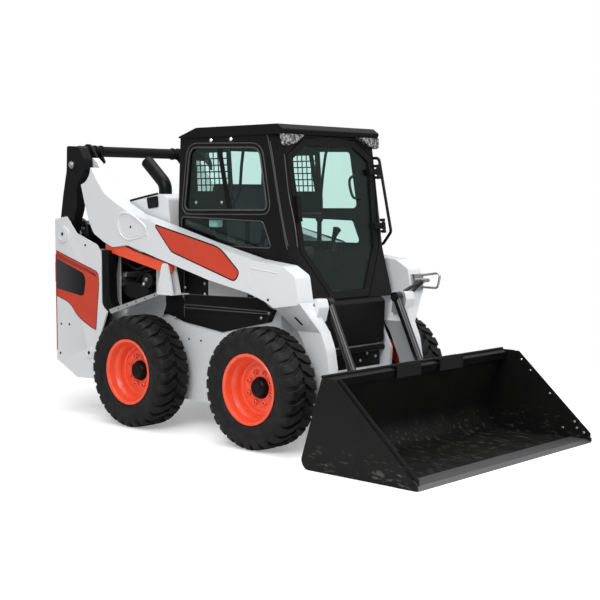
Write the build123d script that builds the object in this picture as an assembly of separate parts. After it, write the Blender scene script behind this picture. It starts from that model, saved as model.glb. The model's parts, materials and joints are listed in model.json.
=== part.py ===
from build123d import *
import math
import os

# Skid steer loader with a vertical-lift boom and a dirt bucket. Sizes are millimetres. The driving
# coordinates are +X forward, +Y to the machine's left and +Z up, with X = 0 midway between the axles and
# Z = 0 on the ground. Each piece is moved at the end so that the origin lies at the middle of the
# machine's length, on the ground. Side outlines are lists of (x, z, corner radius).

# Wheels
WHEELBASE = 1144.0
WHEEL_Y = 646.0
TYRE_RADIUS = 378.0
TYRE_WIDTH = 260.0
LUG_DEPTH = 16.0
LUG_COUNT = 20
LUG_SLANT = 7.0
LUG_INNER = 14.0
LUG_OUTER = 98.0
SHOULDER_DROP = 32.0
BEAD_GAP = 0.3
RIM_RADIUS = 222.5
RIM_STEP = 17.2
RIM_WIDTH = 228.0
RIM_WALL = 7.0
DISC_INSET = 118.0
DISC_WALL = 12.0
HUB_RADIUS = 62.0
HUB_HEIGHT = 34.0
SPINDLE_RADIUS = 30.0
HOUSING_RADIUS = 68.0
RUNNING_FIT = 0.05

# Main frame
FRAME_HALF = 470.0
PLATE = 12.0
FRAME_BOTTOM = 190.0
FRAME_DECK = 900.0
FRAME_REAR = -1500.0
FRAME_FRONT = 660.0
BAY_TOP = 1180.0
BAY_OPENING = (-990.0, -600.0)
NOSE_OUTER = 378.0
NOSE_INNER = 350.0
NOSE_REAR = 573.0
NOSE_BOTTOM = 240.0
NOSE_PLATE_X = 700.0
BEARER_TOP = 330.0
FLOOR_RISE = ((-1000.0, FRAME_BOTTOM + PLATE), (-1112.0, 227.0), (-1286.0, 274.0))

# Lift linkage: (x, z) of each pivot
LINK_BASE = (-1413.0, 1286.0)
LINK_TOP = (-1250.0, 1770.0)
CONTROL_BASE = (-340.0, 1077.0)
CONTROL_END = (-950.0, 1205.0)
LIFT_BASE = (-1122.0, 452.0)
LIFT_END = (-954.0, 1318.0)
BUCKET_PIVOT = (1030.0, 185.0)
TILT_BASE = (860.0, 900.0)
TILT_END = (1132.0, 321.0)
SIDE_GAP = 8.0

# Lift arms
ARM_INNER = 485.0
ARM_OUTER = 620.0
ARM_WALL = 12.0
LEG_INNER = 384.0
LEG_OUTER = 470.0
TAIL_CLEAR = 132.0
CROSS_TUBE = (900.0, 330.0)
CROSS_RADIUS = 40.0

# Rear link
LINK_WIDTH = 75.0
LINK_PIN_RADIUS = 28.0
GUSSET_INNER = 450.0
GUSSET_OUTER = 470.0
REAR_TUBE = (-1345.0, 1880.0)
REAR_TUBE_RADIUS = 38.0

# Uprights
UPRIGHT_OUTER = 640.0
UPRIGHT_REAR = -1512.0
INNER_PLATE = 482.0
LINK_BOSS_RADIUS = 60.0
LIFT_BOSS_RADIUS = 40.0
BOSS_HEIGHT = 12.0

# Cylinders
LIFT_CYLINDER_Y = 524.0
LIFT_BARREL_RADIUS = 34.0
LIFT_ROD_RADIUS = 20.0
LIFT_BARREL_LENGTH = 740.0
LIFT_ROD_LENGTH = 785.0
LIFT_PIN_RADIUS = 22.0
TILT_CYLINDER_Y = 337.0
TILT_BARREL_RADIUS = 28.0
TILT_ROD_RADIUS = 16.0
TILT_BARREL_LENGTH = 520.0
TILT_ROD_LENGTH = 500.0
TILT_PIN_RADIUS = 18.0
CONTROL_LINK_Y = 584.0
CONTROL_LINK_WIDTH = 36.0
CONTROL_PIN_RADIUS = 18.0

# Cab
CAB_HALF = 455.0
CAB_FACE_HALF = 426.0
CAB_WALL = 28.0
CAB_FLOOR = FRAME_DECK
CAB_TOP = 1942.0
CAB_KNEE = 1213.0
CAB_BEND = 1484.0
ROOF_RISE = 64.0
ROOF_TOP = CAB_TOP + ROOF_RISE
WINDOW_TOP = CAB_TOP - 69.0
REAR_WINDOW = (1510.0, CAB_TOP - 72.0)
ROOF_HALF = 470.0
CAB_REAR = -382.0
REAR_PANE_HALF = 330.0
DIVIDER_WIDTH = 32.0
GUARD_THICK = 4.0
GUARD_PITCH = 43.0
GUARD_HOLE = 35.0
GUARD_ROWS = 6
GUARD_COLUMNS = 7
DOOR_GAP = 6.0
DOOR_RIM = 46.0
GLASS = 6.0
LATCH_DEPTH = 26.0
LAMP_DEPTH = 34.0
HINGE_Y = 440.0
HINGE_STANDOFF = 20.0
HINGE_RADIUS = 13.0
HINGE_PIN_RADIUS = 7.0
HINGE_HEIGHTS = (1360.0, 1720.0)

# Bucket
BUCKET_PIN_RADIUS = 25.0
BUCKET_HALF = 910.0
BUCKET_TIP = 1992.0
BUCKET_TOP = 542.0
BUCKET_HEEL = 1135.0
BUCKET_LEAN = 0.3253
BUCKET_SIDE = 12.0
BUCKET_SHELL = 10.0
BUCKET_BEND = 150.0
EDGE_LENGTH = 150.0
EDGE_THICK = 20.0

# Rear tie-down hooks: the rearmost point of the machine
HOOK_REAR = -1559.0
HOOK_OUTER = 504.0
HOOK_THICK = 20.0
HOOK_Z = 416.0
HOOK_RADIUS = 11.0

# Rear door
TAIL_HINGE_X = -1534.0
TAIL_HINGE_Y = 606.0
TAIL_HINGE_RADIUS = 12.0
TAIL_HINGE_HEIGHTS = (620.0, 1200.0)
GRILLE_ROWS = 9
GRILLE_BOTTOM = 700.0
GRILLE_PITCH = 56.0
GRILLE_HALF = 430.0
GRILLE_DEPTH = 8.0

AXLE_X = WHEELBASE / 2
ORIGIN_X = (HOOK_REAR + BUCKET_TIP) / 2


def outline_face(points, y=0.0):
    """Face in a plane across the machine's width, from (x, z) or (x, z, corner radius) points."""
    corners = [(p[0], y, p[1]) for p in points]
    radii = [p[2] if len(p) > 2 else 0.0 for p in points]
    if any(radii):
        return make_face(FilletPolyline(*corners, radius=radii, close=True))
    return make_face(Polyline(*corners, close=True))


def slab(points, y_low, y_high):
    """Side outline carried across the machine from y_low to y_high."""
    return extrude(outline_face(points, y_low), amount=y_high - y_low, dir=(0, 1, 0))


def disc(centre, radius, y_low, y_high):
    """Round bar along Y at (x, z)."""
    middle = (centre[0], (y_low + y_high) / 2, centre[1])
    return Pos(*middle) * Rot(90, 0, 0) * Cylinder(radius, y_high - y_low)


def block(x_low, x_high, y_low, y_high, z_low, z_high):
    """Plain box between two corners."""
    middle = ((x_low + x_high) / 2, (y_low + y_high) / 2, (z_low + z_high) / 2)
    return Pos(*middle) * Box(x_high - x_low, y_high - y_low, z_high - z_low)


def front_outline(points, x_low, x_high, grow=0.0):
    """Front outline of (y, z) points carried from x_low to x_high, grown by an even margin."""
    face = make_face(Polyline(*[(x_low, y, z) for y, z in points], close=True))
    if grow:
        face = offset(face, amount=grow, kind=Kind.INTERSECTION)
    return extrude(face, amount=x_high - x_low, dir=(1, 0, 0))


def along(start, end, distance):
    """Point at a distance from start towards end, both (x, z)."""
    length = math.dist(start, end)
    return tuple(a + (b - a) * distance / length for a, b in zip(start, end))


def bar(start, end, radius, first, last, y):
    """Round bar in the plane y, from distance first to distance last on the line start to end."""
    low = along(start, end, first)
    direction = (end[0] - start[0], 0, end[1] - start[1])
    plane = Plane(origin=(low[0], y, low[1]), z_dir=direction)
    return extrude(plane * Circle(radius), amount=last - first)


def tangent_plate(start, start_radius, end, end_radius, y_low, y_high):
    """Plate with a round end about each of two points and straight tangents between them."""
    dx, dz = end[0] - start[0], end[1] - start[1]
    length = math.hypot(dx, dz)
    turn = math.asin((start_radius - end_radius) / length)
    base = math.atan2(dz, dx)
    corners = []
    for sign in (1, -1):
        angle = base + sign * (math.pi / 2 - turn)
        for centre, radius in ((start, start_radius), (end, end_radius)):
            corners.append((centre[0] + radius * math.cos(angle), centre[1] + radius * math.sin(angle)))
    quad = [corners[0], corners[1], corners[3], corners[2]]
    plate = slab(quad, y_low, y_high)
    plate += disc(start, start_radius, y_low, y_high)
    plate += disc(end, end_radius, y_low, y_high)
    return plate


def left_of(shape):
    """The same piece on the machine's left side."""
    return mirror(shape, about=Plane.XZ)


def pair(shape):
    """The right-hand piece and its mirror image in one node."""
    return Compound(children=[shape.solid(), left_of(shape).solid()])


# Wheels: each is turned about Y in its own place, at the origin, and then moved to its hub


def ring(points):
    """Solid turned about the Y axis from (radius, y) points."""
    face = make_face(Polyline(*[(r, y, 0) for r, y in points], close=True))
    return revolve(face, axis=Axis.Y)


def facet(*corners):
    """Four-cornered patch as two flat triangles."""
    return [Face(Wire.make_polygon(corners[:3])), Face(Wire.make_polygon((corners[0], *corners[2:])))]


def tyre():
    """Tyre in flat facets, solid inside: two rows of slanted lugs, half a pitch apart, over a ring on the rim.

    Each row of stations across the tread is (y, lean in degrees, radius between lugs, radius on a lug).
    """
    half = TYRE_WIDTH / 2
    base = TYRE_RADIUS - LUG_DEPTH
    bead = RIM_WIDTH / 2 - RIM_WALL - BEAD_GAP
    seat = RIM_RADIUS - RIM_STEP
    count = 2 * LUG_COUNT

    def spot(step, lean, radius, y):
        angle = math.radians(step * 360 / count + lean)
        return (radius * math.cos(angle), y, radius * math.sin(angle))

    stations = [(LUG_INNER, 0.0, base, TYRE_RADIUS), (LUG_OUTER, LUG_SLANT, base, TYRE_RADIUS),
                (half, LUG_SLANT, base - SHOULDER_DROP, base - SHOULDER_DROP + LUG_DEPTH)]
    flank = [(half, base - SHOULDER_DROP), (half, RIM_RADIUS + 38), (bead, RIM_RADIUS + 4), (bead, seat)]
    faces = []
    for side in (-1, 1):
        for step in range(count):
            on_lug = (step % 2 == 0) == (side > 0)
            for near, far in zip(stations, stations[1:]):
                faces += facet(*[spot(edge, row[1], row[2 + on_lug], side * row[0]) for row, edge in
                                 ((near, step), (near, step + 1), (far, step + 1), (far, step))])
                faces += facet(*[spot(step, row[1], row[level], side * row[0]) for row, level in
                                 ((near, 2), (near, 3), (far, 3), (far, 2))])
            if on_lug:
                for y, lean, low, high in (stations[0], stations[-1]):
                    faces += facet(spot(step, lean, low, side * y), spot(step + 1, lean, low, side * y),
                                   spot(step + 1, lean, high, side * y), spot(step, lean, high, side * y))
            for (y, radius), (next_y, next_radius) in zip(flank, flank[1:]):
                faces += facet(spot(step, LUG_SLANT, radius, side * y), spot(step + 1, LUG_SLANT, radius, side * y),
                               spot(step + 1, LUG_SLANT, next_radius, side * next_y),
                               spot(step, LUG_SLANT, next_radius, side * next_y))
    for radius, y, lean in ((base, LUG_INNER, 0.0), (seat, bead, LUG_SLANT)):
        for step in range(count):
            faces += facet(spot(step, lean, radius, -y), spot(step + 1, lean, radius, -y),
                           spot(step + 1, lean, radius, y), spot(step, lean, radius, y))
    return Solid(Shell(faces))


def rim(outward):
    """Deep-dished rim with its centre disc and hub cap on the outward side, bored for the spindle."""
    half = RIM_WIDTH / 2
    facet_sag = (RIM_RADIUS - RIM_STEP) * (1 - math.cos(math.pi / (2 * LUG_COUNT)))
    seat = RIM_RADIUS - RIM_STEP - facet_sag - BEAD_GAP
    drop = RIM_RADIUS - 40
    barrel = [(RIM_RADIUS, half), (RIM_RADIUS, half - RIM_WALL), (seat, half - RIM_WALL),
              (seat, half - 48), (drop, half - 66), (drop, -half + 66), (seat, -half + 48),
              (seat, -half + RIM_WALL), (RIM_RADIUS, -half + RIM_WALL), (RIM_RADIUS, -half),
              (seat - RIM_WALL, -half), (seat - RIM_WALL, -half + 52), (drop - RIM_WALL, -half + 70),
              (drop - RIM_WALL, half - 70), (seat - RIM_WALL, half - 52), (seat - RIM_WALL, half)]
    shape = ring(barrel)
    face = half - DISC_INSET
    bore = SPINDLE_RADIUS + RUNNING_FIT
    hub = [(bore, face - DISC_WALL - 20), (HUB_RADIUS + 8, face - DISC_WALL - 20),
           (HUB_RADIUS + 8, face - DISC_WALL), (drop - 3, face - DISC_WALL), (drop - 3, face),
           (HUB_RADIUS + 4, face), (HUB_RADIUS, face + HUB_HEIGHT), (HUB_RADIUS - 14, face + HUB_HEIGHT + 6),
           (0, face + HUB_HEIGHT + 6), (0, face + HUB_HEIGHT - 8), (bore, face + HUB_HEIGHT - 8)]
    shape += ring(hub)
    return shape if outward > 0 else left_of(shape)


def hub_place(end, side):
    """Moves a wheel piece to the front (end = 1) or rear (end = -1) hub of one side."""
    return Pos(end * AXLE_X, side * WHEEL_Y, TYRE_RADIUS)


def axle_tubes():
    """Four axle housings with their spindles, on the frame's side plates."""
    inner_face = WHEEL_Y + RIM_WIDTH / 2 - DISC_INSET - DISC_WALL - 20
    tip = WHEEL_Y + RIM_WIDTH / 2 - DISC_INSET + HUB_HEIGHT - 8 - 2
    solids = []
    for end in (-1, 1):
        centre = (end * AXLE_X, TYRE_RADIUS)
        housing = disc(centre, HOUSING_RADIUS, FRAME_HALF, inner_face - 26)
        housing += disc(centre, HOUSING_RADIUS + 22, inner_face - 40, inner_face - 24)
        housing += disc(centre, HUB_RADIUS - 8, inner_face - 26, inner_face - 1)
        housing += disc(centre, SPINDLE_RADIUS, inner_face - 26, tip)
        solids += [housing.solid(), left_of(housing).solid()]
    return Compound(children=solids)


# Main frame and engine


def frame_side():
    """Right-hand side plate of the tub, cut low beside the engine."""
    left, right = BAY_OPENING
    points = [(FRAME_REAR, 380), (-1290, 262), (-1115, 215), (-1000, FRAME_BOTTOM), (600, FRAME_BOTTOM),
              (FRAME_FRONT, 250), (FRAME_FRONT, 640), (585, 715), (585, FRAME_DECK), (CAB_REAR - 13, FRAME_DECK),
              (CAB_REAR - 13, BAY_TOP), (right, BAY_TOP), (right, 845, 40), (left, 745, 60), (left, BAY_TOP),
              (FRAME_REAR, BAY_TOP)]
    return slab(points, -FRAME_HALF, PLATE - FRAME_HALF)


def tub_floor():
    """Belly plate between the side plates, rising behind the rear axle."""
    inner = FRAME_HALF - PLATE
    rise = [(FRAME_REAR, 380), (-1290, 262), (-1115, 215), (-1000, FRAME_BOTTOM), *FLOOR_RISE, (FRAME_REAR, 393)]
    return slab(rise, -inner, inner) + block(-1000, 600, -inner, inner, FRAME_BOTTOM, FRAME_BOTTOM + PLATE)


def nose_wall():
    """Plate across the tub's front, with the nose standing in its opening."""
    inner = FRAME_HALF - PLATE
    front = NOSE_REAR + PLATE
    wall = block(NOSE_REAR, front, -inner, inner, FRAME_BOTTOM + PLATE, FRAME_DECK)
    return wall - block(NOSE_REAR - 1, front + 1, -NOSE_OUTER, NOSE_OUTER, NOSE_BOTTOM, FRAME_DECK + 1)


def tie_down_hook():
    """Right-hand tie-down hook on its bracket, outside the tub's rear corner."""
    hook = block(HOOK_REAR, FRAME_REAR, -HOOK_OUTER, HOOK_THICK - HOOK_OUTER, HOOK_Z - 20, HOOK_Z + 20)
    hook += block(FRAME_REAR - 30, FRAME_REAR + 60, -HOOK_OUTER, -FRAME_HALF, 380, HOOK_Z - 8)
    return hook - disc((HOOK_REAR + HOOK_RADIUS + 9, HOOK_Z), HOOK_RADIUS, -HOOK_OUTER - 1, -FRAME_HALF)


def main_frame():
    """Welded tub, plate by plate: sides, floor, bulkhead, deck ledge, nose wall, rails, bearers and hooks."""
    inner = FRAME_HALF - PLATE
    bulkhead = CAB_REAR - 13
    front = bulkhead - PLATE
    rear = FLOOR_RISE[-1][0]
    bearer = slab([*FLOOR_RISE, (rear, BEARER_TOP), (front, BEARER_TOP), (front, FRAME_BOTTOM + PLATE)], -260, -200)
    rail = block(-1488, front, -inner, -440, BAY_TOP - PLATE, BAY_TOP)
    plates = [tub_floor(), nose_wall(),
              block(front, bulkhead, -inner, inner, FRAME_BOTTOM + PLATE, BAY_TOP),
              block(bulkhead, CAB_REAR + 60, -inner, inner, FRAME_DECK - PLATE, FRAME_DECK)]
    for shape in (frame_side(), bearer, rail, tie_down_hook()):
        plates += [shape, left_of(shape)]
    return Compound(children=[plate.solid() for plate in plates])


def nose_frame():
    """Nose between the boom's legs: two thick side plates, a front plate and a floor, ahead of the tub."""
    shape = block(NOSE_REAR, NOSE_PLATE_X, -NOSE_INNER, NOSE_INNER, NOSE_BOTTOM, NOSE_BOTTOM + PLATE)
    shape += block(NOSE_PLATE_X, NOSE_PLATE_X + PLATE, -NOSE_INNER, NOSE_INNER, NOSE_BOTTOM, FRAME_DECK)
    side = [(NOSE_REAR, NOSE_BOTTOM), (NOSE_PLATE_X - 10, NOSE_BOTTOM), (790, 400, 30), (800, 560, 30),
            (728, 690), (NOSE_PLATE_X + PLATE, FRAME_DECK), (NOSE_REAR, FRAME_DECK)]
    for sign in (-1, 1):
        shape += slab(side, *sorted((sign * NOSE_INNER, sign * NOSE_OUTER)))
    return shape


def engine_block():
    """Engine and pumps as one block on its two bearers."""
    return block(-1270, -640, -290, 290, BEARER_TOP, 1010)


def rear_fender():
    """Right-hand ledge over the rear tyre, with the control link's lugs and pin."""
    ledge = [(-890, 762), (-395, 904), (-250, 904), (-250, 912), (-396, 912), (-890, 770)]
    shape = slab(ledge, -UPRIGHT_OUTER, -FRAME_HALF)
    outer_lug = CONTROL_LINK_Y + CONTROL_LINK_WIDTH / 2 + SIDE_GAP
    inner_lug = CONTROL_LINK_Y - CONTROL_LINK_WIDTH / 2 - SIDE_GAP
    x, z = CONTROL_BASE
    lug = [(x - 80, 905), (x + 80, 905), (x + 34, z + 10, 20), (x + 20, z + 36, 20), (x - 20, z + 36, 20),
           (x - 34, z + 10, 20)]
    for low, high in ((-outer_lug - PLATE, -outer_lug), (-inner_lug, -inner_lug + PLATE)):
        shape += slab(lug, low, high)
    shape += disc(CONTROL_BASE, CONTROL_PIN_RADIUS, -outer_lug - PLATE, -inner_lug + PLATE)
    shape += block(x - 60, x - 48, -outer_lug, -inner_lug, 911, 990)
    return shape


def upright():
    """Right-hand tower: outer plate, rear plate and inner plate, with the two pins that it carries."""
    outer = [(UPRIGHT_REAR, 1392), (-1376, 1413, 20), (-1267, 1295, 40), (-1037, 1219, 40), (-985, 1150, 50),
             (-985, 800, 60), (-925, 757), (-1000, 600), (-1010, 420), (-990, 274), (-1277, 262),
             (UPRIGHT_REAR, 373)]
    shape = slab(outer, -UPRIGHT_OUTER, PLATE - UPRIGHT_OUTER)
    shape -= disc((-AXLE_X, TYRE_RADIUS), TYRE_RADIUS + 45, -UPRIGHT_OUTER - 1, PLATE - UPRIGHT_OUTER + 1)
    inner = [(FRAME_REAR, 1385), (-1376, 1395, 20), (-1330, 1300, 40), (-1330, 700), (-1060, 560, 40),
             (-1060, 400, 40), (-1180, 400, 40), (-1240, 450), (FRAME_REAR, 450)]
    shape += slab(inner, -INNER_PLATE, -FRAME_HALF)
    shape += block(UPRIGHT_REAR, FRAME_REAR, PLATE - UPRIGHT_OUTER, -FRAME_HALF, 440, 1385)
    floor = [(FRAME_REAR, 440), (-1277, 330), (-1200, 318), (-1200, 330), (-1277, 342), (FRAME_REAR, 452)]
    shape += slab(floor, PLATE - UPRIGHT_OUTER, -INNER_PLATE)
    shape += disc(LINK_BASE, LINK_PIN_RADIUS, PLATE - UPRIGHT_OUTER, -INNER_PLATE)
    shape += disc(LIFT_BASE, LIFT_PIN_RADIUS, PLATE - UPRIGHT_OUTER, -INNER_PLATE)
    for pivot, radius in ((LINK_BASE, LINK_BOSS_RADIUS), (LIFT_BASE, LIFT_BOSS_RADIUS)):
        shape += disc(pivot, radius, -UPRIGHT_OUTER - BOSS_HEIGHT, PLATE / 2 - UPRIGHT_OUTER)
    return shape


def side_cover():
    """Right-hand black cover along the frame under the cab."""
    points = [(-501, 767), (-307, 715), (63, 671), (506, 770), (547, 845), (311, 896), (-286, 896),
              (-430, 884), (-480, 866)]
    return slab(points, -FRAME_HALF - PLATE, -FRAME_HALF)


def hood_outline():
    return [(-1488, BAY_TOP), (-470, BAY_TOP), (-470, 1400), (-492, 1545, 40), (-560, 1574, 60), (-930, 1512),
            (-1200, 1470), (-1330, 1385), (-1488, 1370)]


def engine_hood():
    """Hood behind the cab, open underneath."""
    points = hood_outline()
    wall = 8.0
    inner = [(-1480, BAY_TOP - 1), (-478, BAY_TOP - 1), (-478, 1399), (-500, 1540), (-560, 1566), (-930, 1504),
             (-1197, 1462), (-1328, 1377), (-1480, 1362)]
    return slab(points, -CAB_HALF, CAB_HALF) - slab(inner, wall - CAB_HALF, CAB_HALF - wall)


def exhaust_stack():
    """Curved exhaust stack that rises out of the hood behind the cab and leans back at the top."""
    base = (-690, -300, 1500)
    path = FilletPolyline(base, (-690, -300, 1640), (-880, -300, 1800), radius=90)
    start = Plane(origin=base, z_dir=(0, 0, 1))
    stack = sweep(start * Circle(46), path=path) - sweep(start * Circle(40), path=path)
    return stack - slab(hood_outline(), -400, -200)


def tailgate():
    """Rear door with its hinge knuckles on the left side."""
    shape = block(-1540, -1515, -590, 590, 445, 1375)
    for row in range(GRILLE_ROWS):
        z = GRILLE_BOTTOM + row * GRILLE_PITCH
        shape -= block(-1541, GRILLE_DEPTH - 1540, -GRILLE_HALF, GRILLE_HALF, z, z + GRILLE_PITCH / 2)
    for z in TAIL_HINGE_HEIGHTS:
        knuckle = Pos(TAIL_HINGE_X, TAIL_HINGE_Y, z) * Cylinder(TAIL_HINGE_RADIUS, 80)
        knuckle += block(TAIL_HINGE_X - 8, -1520, 585, TAIL_HINGE_Y, z - 40, z + 40)
        knuckle -= Pos(TAIL_HINGE_X, TAIL_HINGE_Y, z) * Cylinder(HINGE_PIN_RADIUS + RUNNING_FIT, 90)
        shape += knuckle
    return shape


def left_upright():
    """Left-hand tower: the mirror of the right one with the pins and brackets of the rear door."""
    shape = left_of(upright())
    for z in TAIL_HINGE_HEIGHTS:
        shape += Pos(TAIL_HINGE_X, TAIL_HINGE_Y, z) * Cylinder(HINGE_PIN_RADIUS, 116)
        for lift in (-50, 50):
            shape += Pos(TAIL_HINGE_X, TAIL_HINGE_Y, z + lift) * Cylinder(TAIL_HINGE_RADIUS, 16)
            shape += block(TAIL_HINGE_X, UPRIGHT_REAR + 2, TAIL_HINGE_Y - 8, TAIL_HINGE_Y + 12,
                           z + lift - 8, z + lift + 8)
    return shape


def tail_lamps():
    """Lamp on each upright's rear plate, outside the rear door."""
    return pair(block(UPRIGHT_REAR - 14, UPRIGHT_REAR, -634, -602, 940, 1080))


# Lift arms and links


def arm_outline():
    """Side outline of the arm's upper box, from its tail over the crown to the knee and back."""
    return [(-1231, 1800), (-1157, 1806, 20), (-1057, 1677, 100), (-974, 1581, 100), (-850, 1512, 100),
            (-680, 1435, 200), (-459, 1382, 200), (26, 1260, 200), (459, 1164, 200), (736, 1133, 60),
            (838, 1076, 40), (868, 905, 20), (661, 875, 20), (574, 915, 60), (441, 955, 200), (78, 1022, 200),
            (-309, 1119, 200), (-721, 1222, 60), (-889, 1206, 60), (-981, 1240, 60), (-1091, 1297, 60),
            (-1141, 1377, 100), (-1190, 1511, 200), (-1231, 1646, 60)]


def arm_hollow():
    """Space between the arm's side plates: under its top plate, and open at the rear and below."""
    return [(-1260, 1700), (-1163, 1790), (-1068, 1668), (-982, 1571), (-856, 1500), (-684, 1423), (-462, 1370),
            (-420, 1360), (-420, 1100), (-721, 1150), (-1000, 1150), (-1180, 1290), (-1300, 1500)]


def arm_front_hollow():
    """Closed space inside the arm's front box."""
    return [(-380, 1350), (23, 1248), (457, 1152), (725, 1122), (822, 1068), (840, 940), (660, 940), (440, 968),
            (80, 1036), (-306, 1131), (-380, 1150)]


def lift_arm():
    """Right-hand lift arm: the box from its tail to the knee, bored for the rear link's upper pin."""
    shape = slab(arm_outline(), -ARM_OUTER, -ARM_INNER)
    shape -= slab(arm_hollow(), ARM_WALL - ARM_OUTER, -ARM_INNER - ARM_WALL)
    shape -= slab(arm_front_hollow(), ARM_WALL - ARM_OUTER, -ARM_INNER - ARM_WALL)
    shape -= disc(LINK_TOP, TAIL_CLEAR, -ARM_OUTER - 1, -ARM_INNER - 52)
    tail = [(-1290, 1722, 20), (-1231, 1600), (-1110, 1560), (-1080, 1690), (-1157, 1800, 20), (-1190, 1828, 30),
            (-1275, 1828, 40), (-1310, 1790, 30)]
    shape += slab(tail, -ARM_INNER - 52, -ARM_INNER)
    return shape - disc(LINK_TOP, LINK_PIN_RADIUS + RUNNING_FIT, -ARM_INNER - 53, -ARM_INNER + 1)


def arm_leg():
    """Right-hand knee and leg: it steps inwards under the arm's box and carries the bucket's pivot."""
    top = [(600, -ARM_OUTER, 925), (862, -ARM_OUTER, 925), (862, -ARM_INNER, 925), (600, -ARM_INNER, 925)]
    low = [(713, -LEG_OUTER, 728), (912, -LEG_OUTER, 728), (912, -LEG_INNER, 728), (713, -LEG_INNER, 728)]
    shape = loft([make_face(Polyline(*top, close=True)), make_face(Polyline(*low, close=True))], ruled=True)
    x, z = BUCKET_PIVOT
    leg = [(713, 735), (769, 660, 60), (850, 480, 200), (868, 330, 100), (x - 55, z - 20, 40), (x - 30, z - 52, 40),
           (x + 30, z - 52, 45), (x + 52, z + 20, 45), (985, 466, 200), (958, 628, 200), (912, 735)]
    shape += slab(leg, -LEG_OUTER, -LEG_INNER)
    shape -= disc(BUCKET_PIVOT, BUCKET_PIN_RADIUS + RUNNING_FIT, -LEG_OUTER - 1, -LEG_INNER + 1)
    ear = [(780, 790), (880, 790), (905, 880, 20), (890, 932, 20), (828, 932, 20), (790, 900)]
    shape += slab(ear, -LEG_OUTER - 8, -LEG_INNER)
    shape += disc(TILT_BASE, TILT_PIN_RADIUS, -LEG_INNER, -TILT_CYLINDER_Y + 28)
    return shape - slab(arm_outline(), -ARM_OUTER - 1, -ARM_INNER)


def arm_legs():
    """Both knees and legs with the tube that ties them together."""
    leg = arm_leg()
    return leg + left_of(leg) + disc(CROSS_TUBE, CROSS_RADIUS, -LEG_INNER - 1, LEG_INNER + 1)


def aux_couplers():
    """Auxiliary hydraulic couplers on a bracket, with a loop guard, in front of the left arm's knee."""
    shape = block(836, 880, 505, 600, 930, 1040) - slab(arm_outline(), ARM_INNER, ARM_OUTER)
    for y in (530, 562):
        shape += Pos(916, y, 1000) * Rot(0, 90, 0) * Cylinder(13, 74)
    guard = FilletPolyline((876, 590, 950), (1005, 590, 950), (1030, 590, 1052), (876, 590, 1030), radius=22)
    shape += sweep(Plane(origin=(876, 590, 950), z_dir=(1, 0, 0)) * Circle(8), path=guard)
    return shape


def rear_link():
    """Right-hand rear link: curved column with an eye at each end and the upper pin."""
    x, z = LINK_TOP
    base_x, base_z = LINK_BASE
    points = [(-1385, 1916, 20), (-1392, 1740, 200), (-1438, 1560, 250), (base_x - 66, base_z + 60, 150),
              (base_x - 58, base_z - 58, 56), (base_x + 58, base_z - 58, 56), (base_x + 72, base_z + 50, 150),
              (-1276, 1480, 200), (-1280, 1620, 150), (x + 22, z - 80, 60), (x + 66, z - 40, 40),
              (x + 60, z + 50, 40), (-1246, 1905, 30)]
    inner = ARM_OUTER - LINK_WIDTH
    shape = slab(points, -ARM_OUTER, -inner)
    shape -= disc(LINK_BASE, LINK_PIN_RADIUS + RUNNING_FIT, -ARM_OUTER - 1, -inner + 1)
    shape += disc(LINK_TOP, LINK_PIN_RADIUS, -inner, -GUSSET_OUTER)
    return shape


def rear_links():
    """Both rear links with their cross tube and the inner gussets that hold the upper pins."""
    inner = ARM_OUTER - LINK_WIDTH
    link = rear_link()
    shape = link + left_of(link) + disc(REAR_TUBE, REAR_TUBE_RADIUS, -inner - 1, inner + 1)
    for sign in (-1, 1):
        low, high = sorted((sign * GUSSET_INNER, sign * GUSSET_OUTER))
        shape += tangent_plate(REAR_TUBE, REAR_TUBE_RADIUS + 14, LINK_TOP, 52, low, high)
    return shape


def control_link():
    """Right-hand control link between the frame and the arm's underside."""
    low = CONTROL_LINK_Y - CONTROL_LINK_WIDTH / 2
    high = CONTROL_LINK_Y + CONTROL_LINK_WIDTH / 2
    shape = tangent_plate(CONTROL_BASE, 34, CONTROL_END, 34, -high, -low)
    start = along(CONTROL_BASE, CONTROL_END, 90)
    peak = along(CONTROL_BASE, CONTROL_END, 450)
    end = along(CONTROL_BASE, CONTROL_END, 560)
    hump = [start, (end[0], end[1] + 20), (peak[0], peak[1] + 48, 60)]
    shape += slab(hump, -high, -low)
    return shape - disc(CONTROL_BASE, CONTROL_PIN_RADIUS + RUNNING_FIT, -high - 1, -low + 1)


def cylinder_barrel(start, end, y, radius, rod_radius, length, pin_radius, eye_half):
    """Hydraulic barrel with its base eye, gland and rod bore."""
    eye = radius + 4
    shape = disc(start, eye, -y - eye_half, -y + eye_half)
    shape += bar(start, end, radius, 20, length, -y)
    shape -= disc(start, pin_radius + RUNNING_FIT, -y - eye_half - 1, -y + eye_half + 1)
    shape -= bar(start, end, rod_radius + RUNNING_FIT, eye + 6, length + 1, -y)
    if eye_half < radius:
        for sign in (-1, 1):
            low, high = sorted((-y + sign * eye_half, -y + sign * (radius + 1)))
            shape -= disc(start, eye + 0.5, low, high)
    return shape


def cylinder_rod(start, end, y, rod_radius, length, eye_radius, eye_half, hole):
    """Rod with the open eye at its end."""
    reach = math.dist(start, end)
    shape = bar(start, end, rod_radius, reach - length, reach - 10, -y)
    shape += disc(end, eye_radius, -y - eye_half, -y + eye_half)
    return shape - disc(end, hole, -y - eye_half - 1, -y + eye_half + 1)


def lift_barrel():
    return cylinder_barrel(LIFT_BASE, LIFT_END, LIFT_CYLINDER_Y, LIFT_BARREL_RADIUS, LIFT_ROD_RADIUS,
                           LIFT_BARREL_LENGTH, LIFT_PIN_RADIUS, 30)


def lift_rod():
    return cylinder_rod(LIFT_BASE, LIFT_END, LIFT_CYLINDER_Y, LIFT_ROD_RADIUS, LIFT_ROD_LENGTH, 40, 25, 22)


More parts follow.
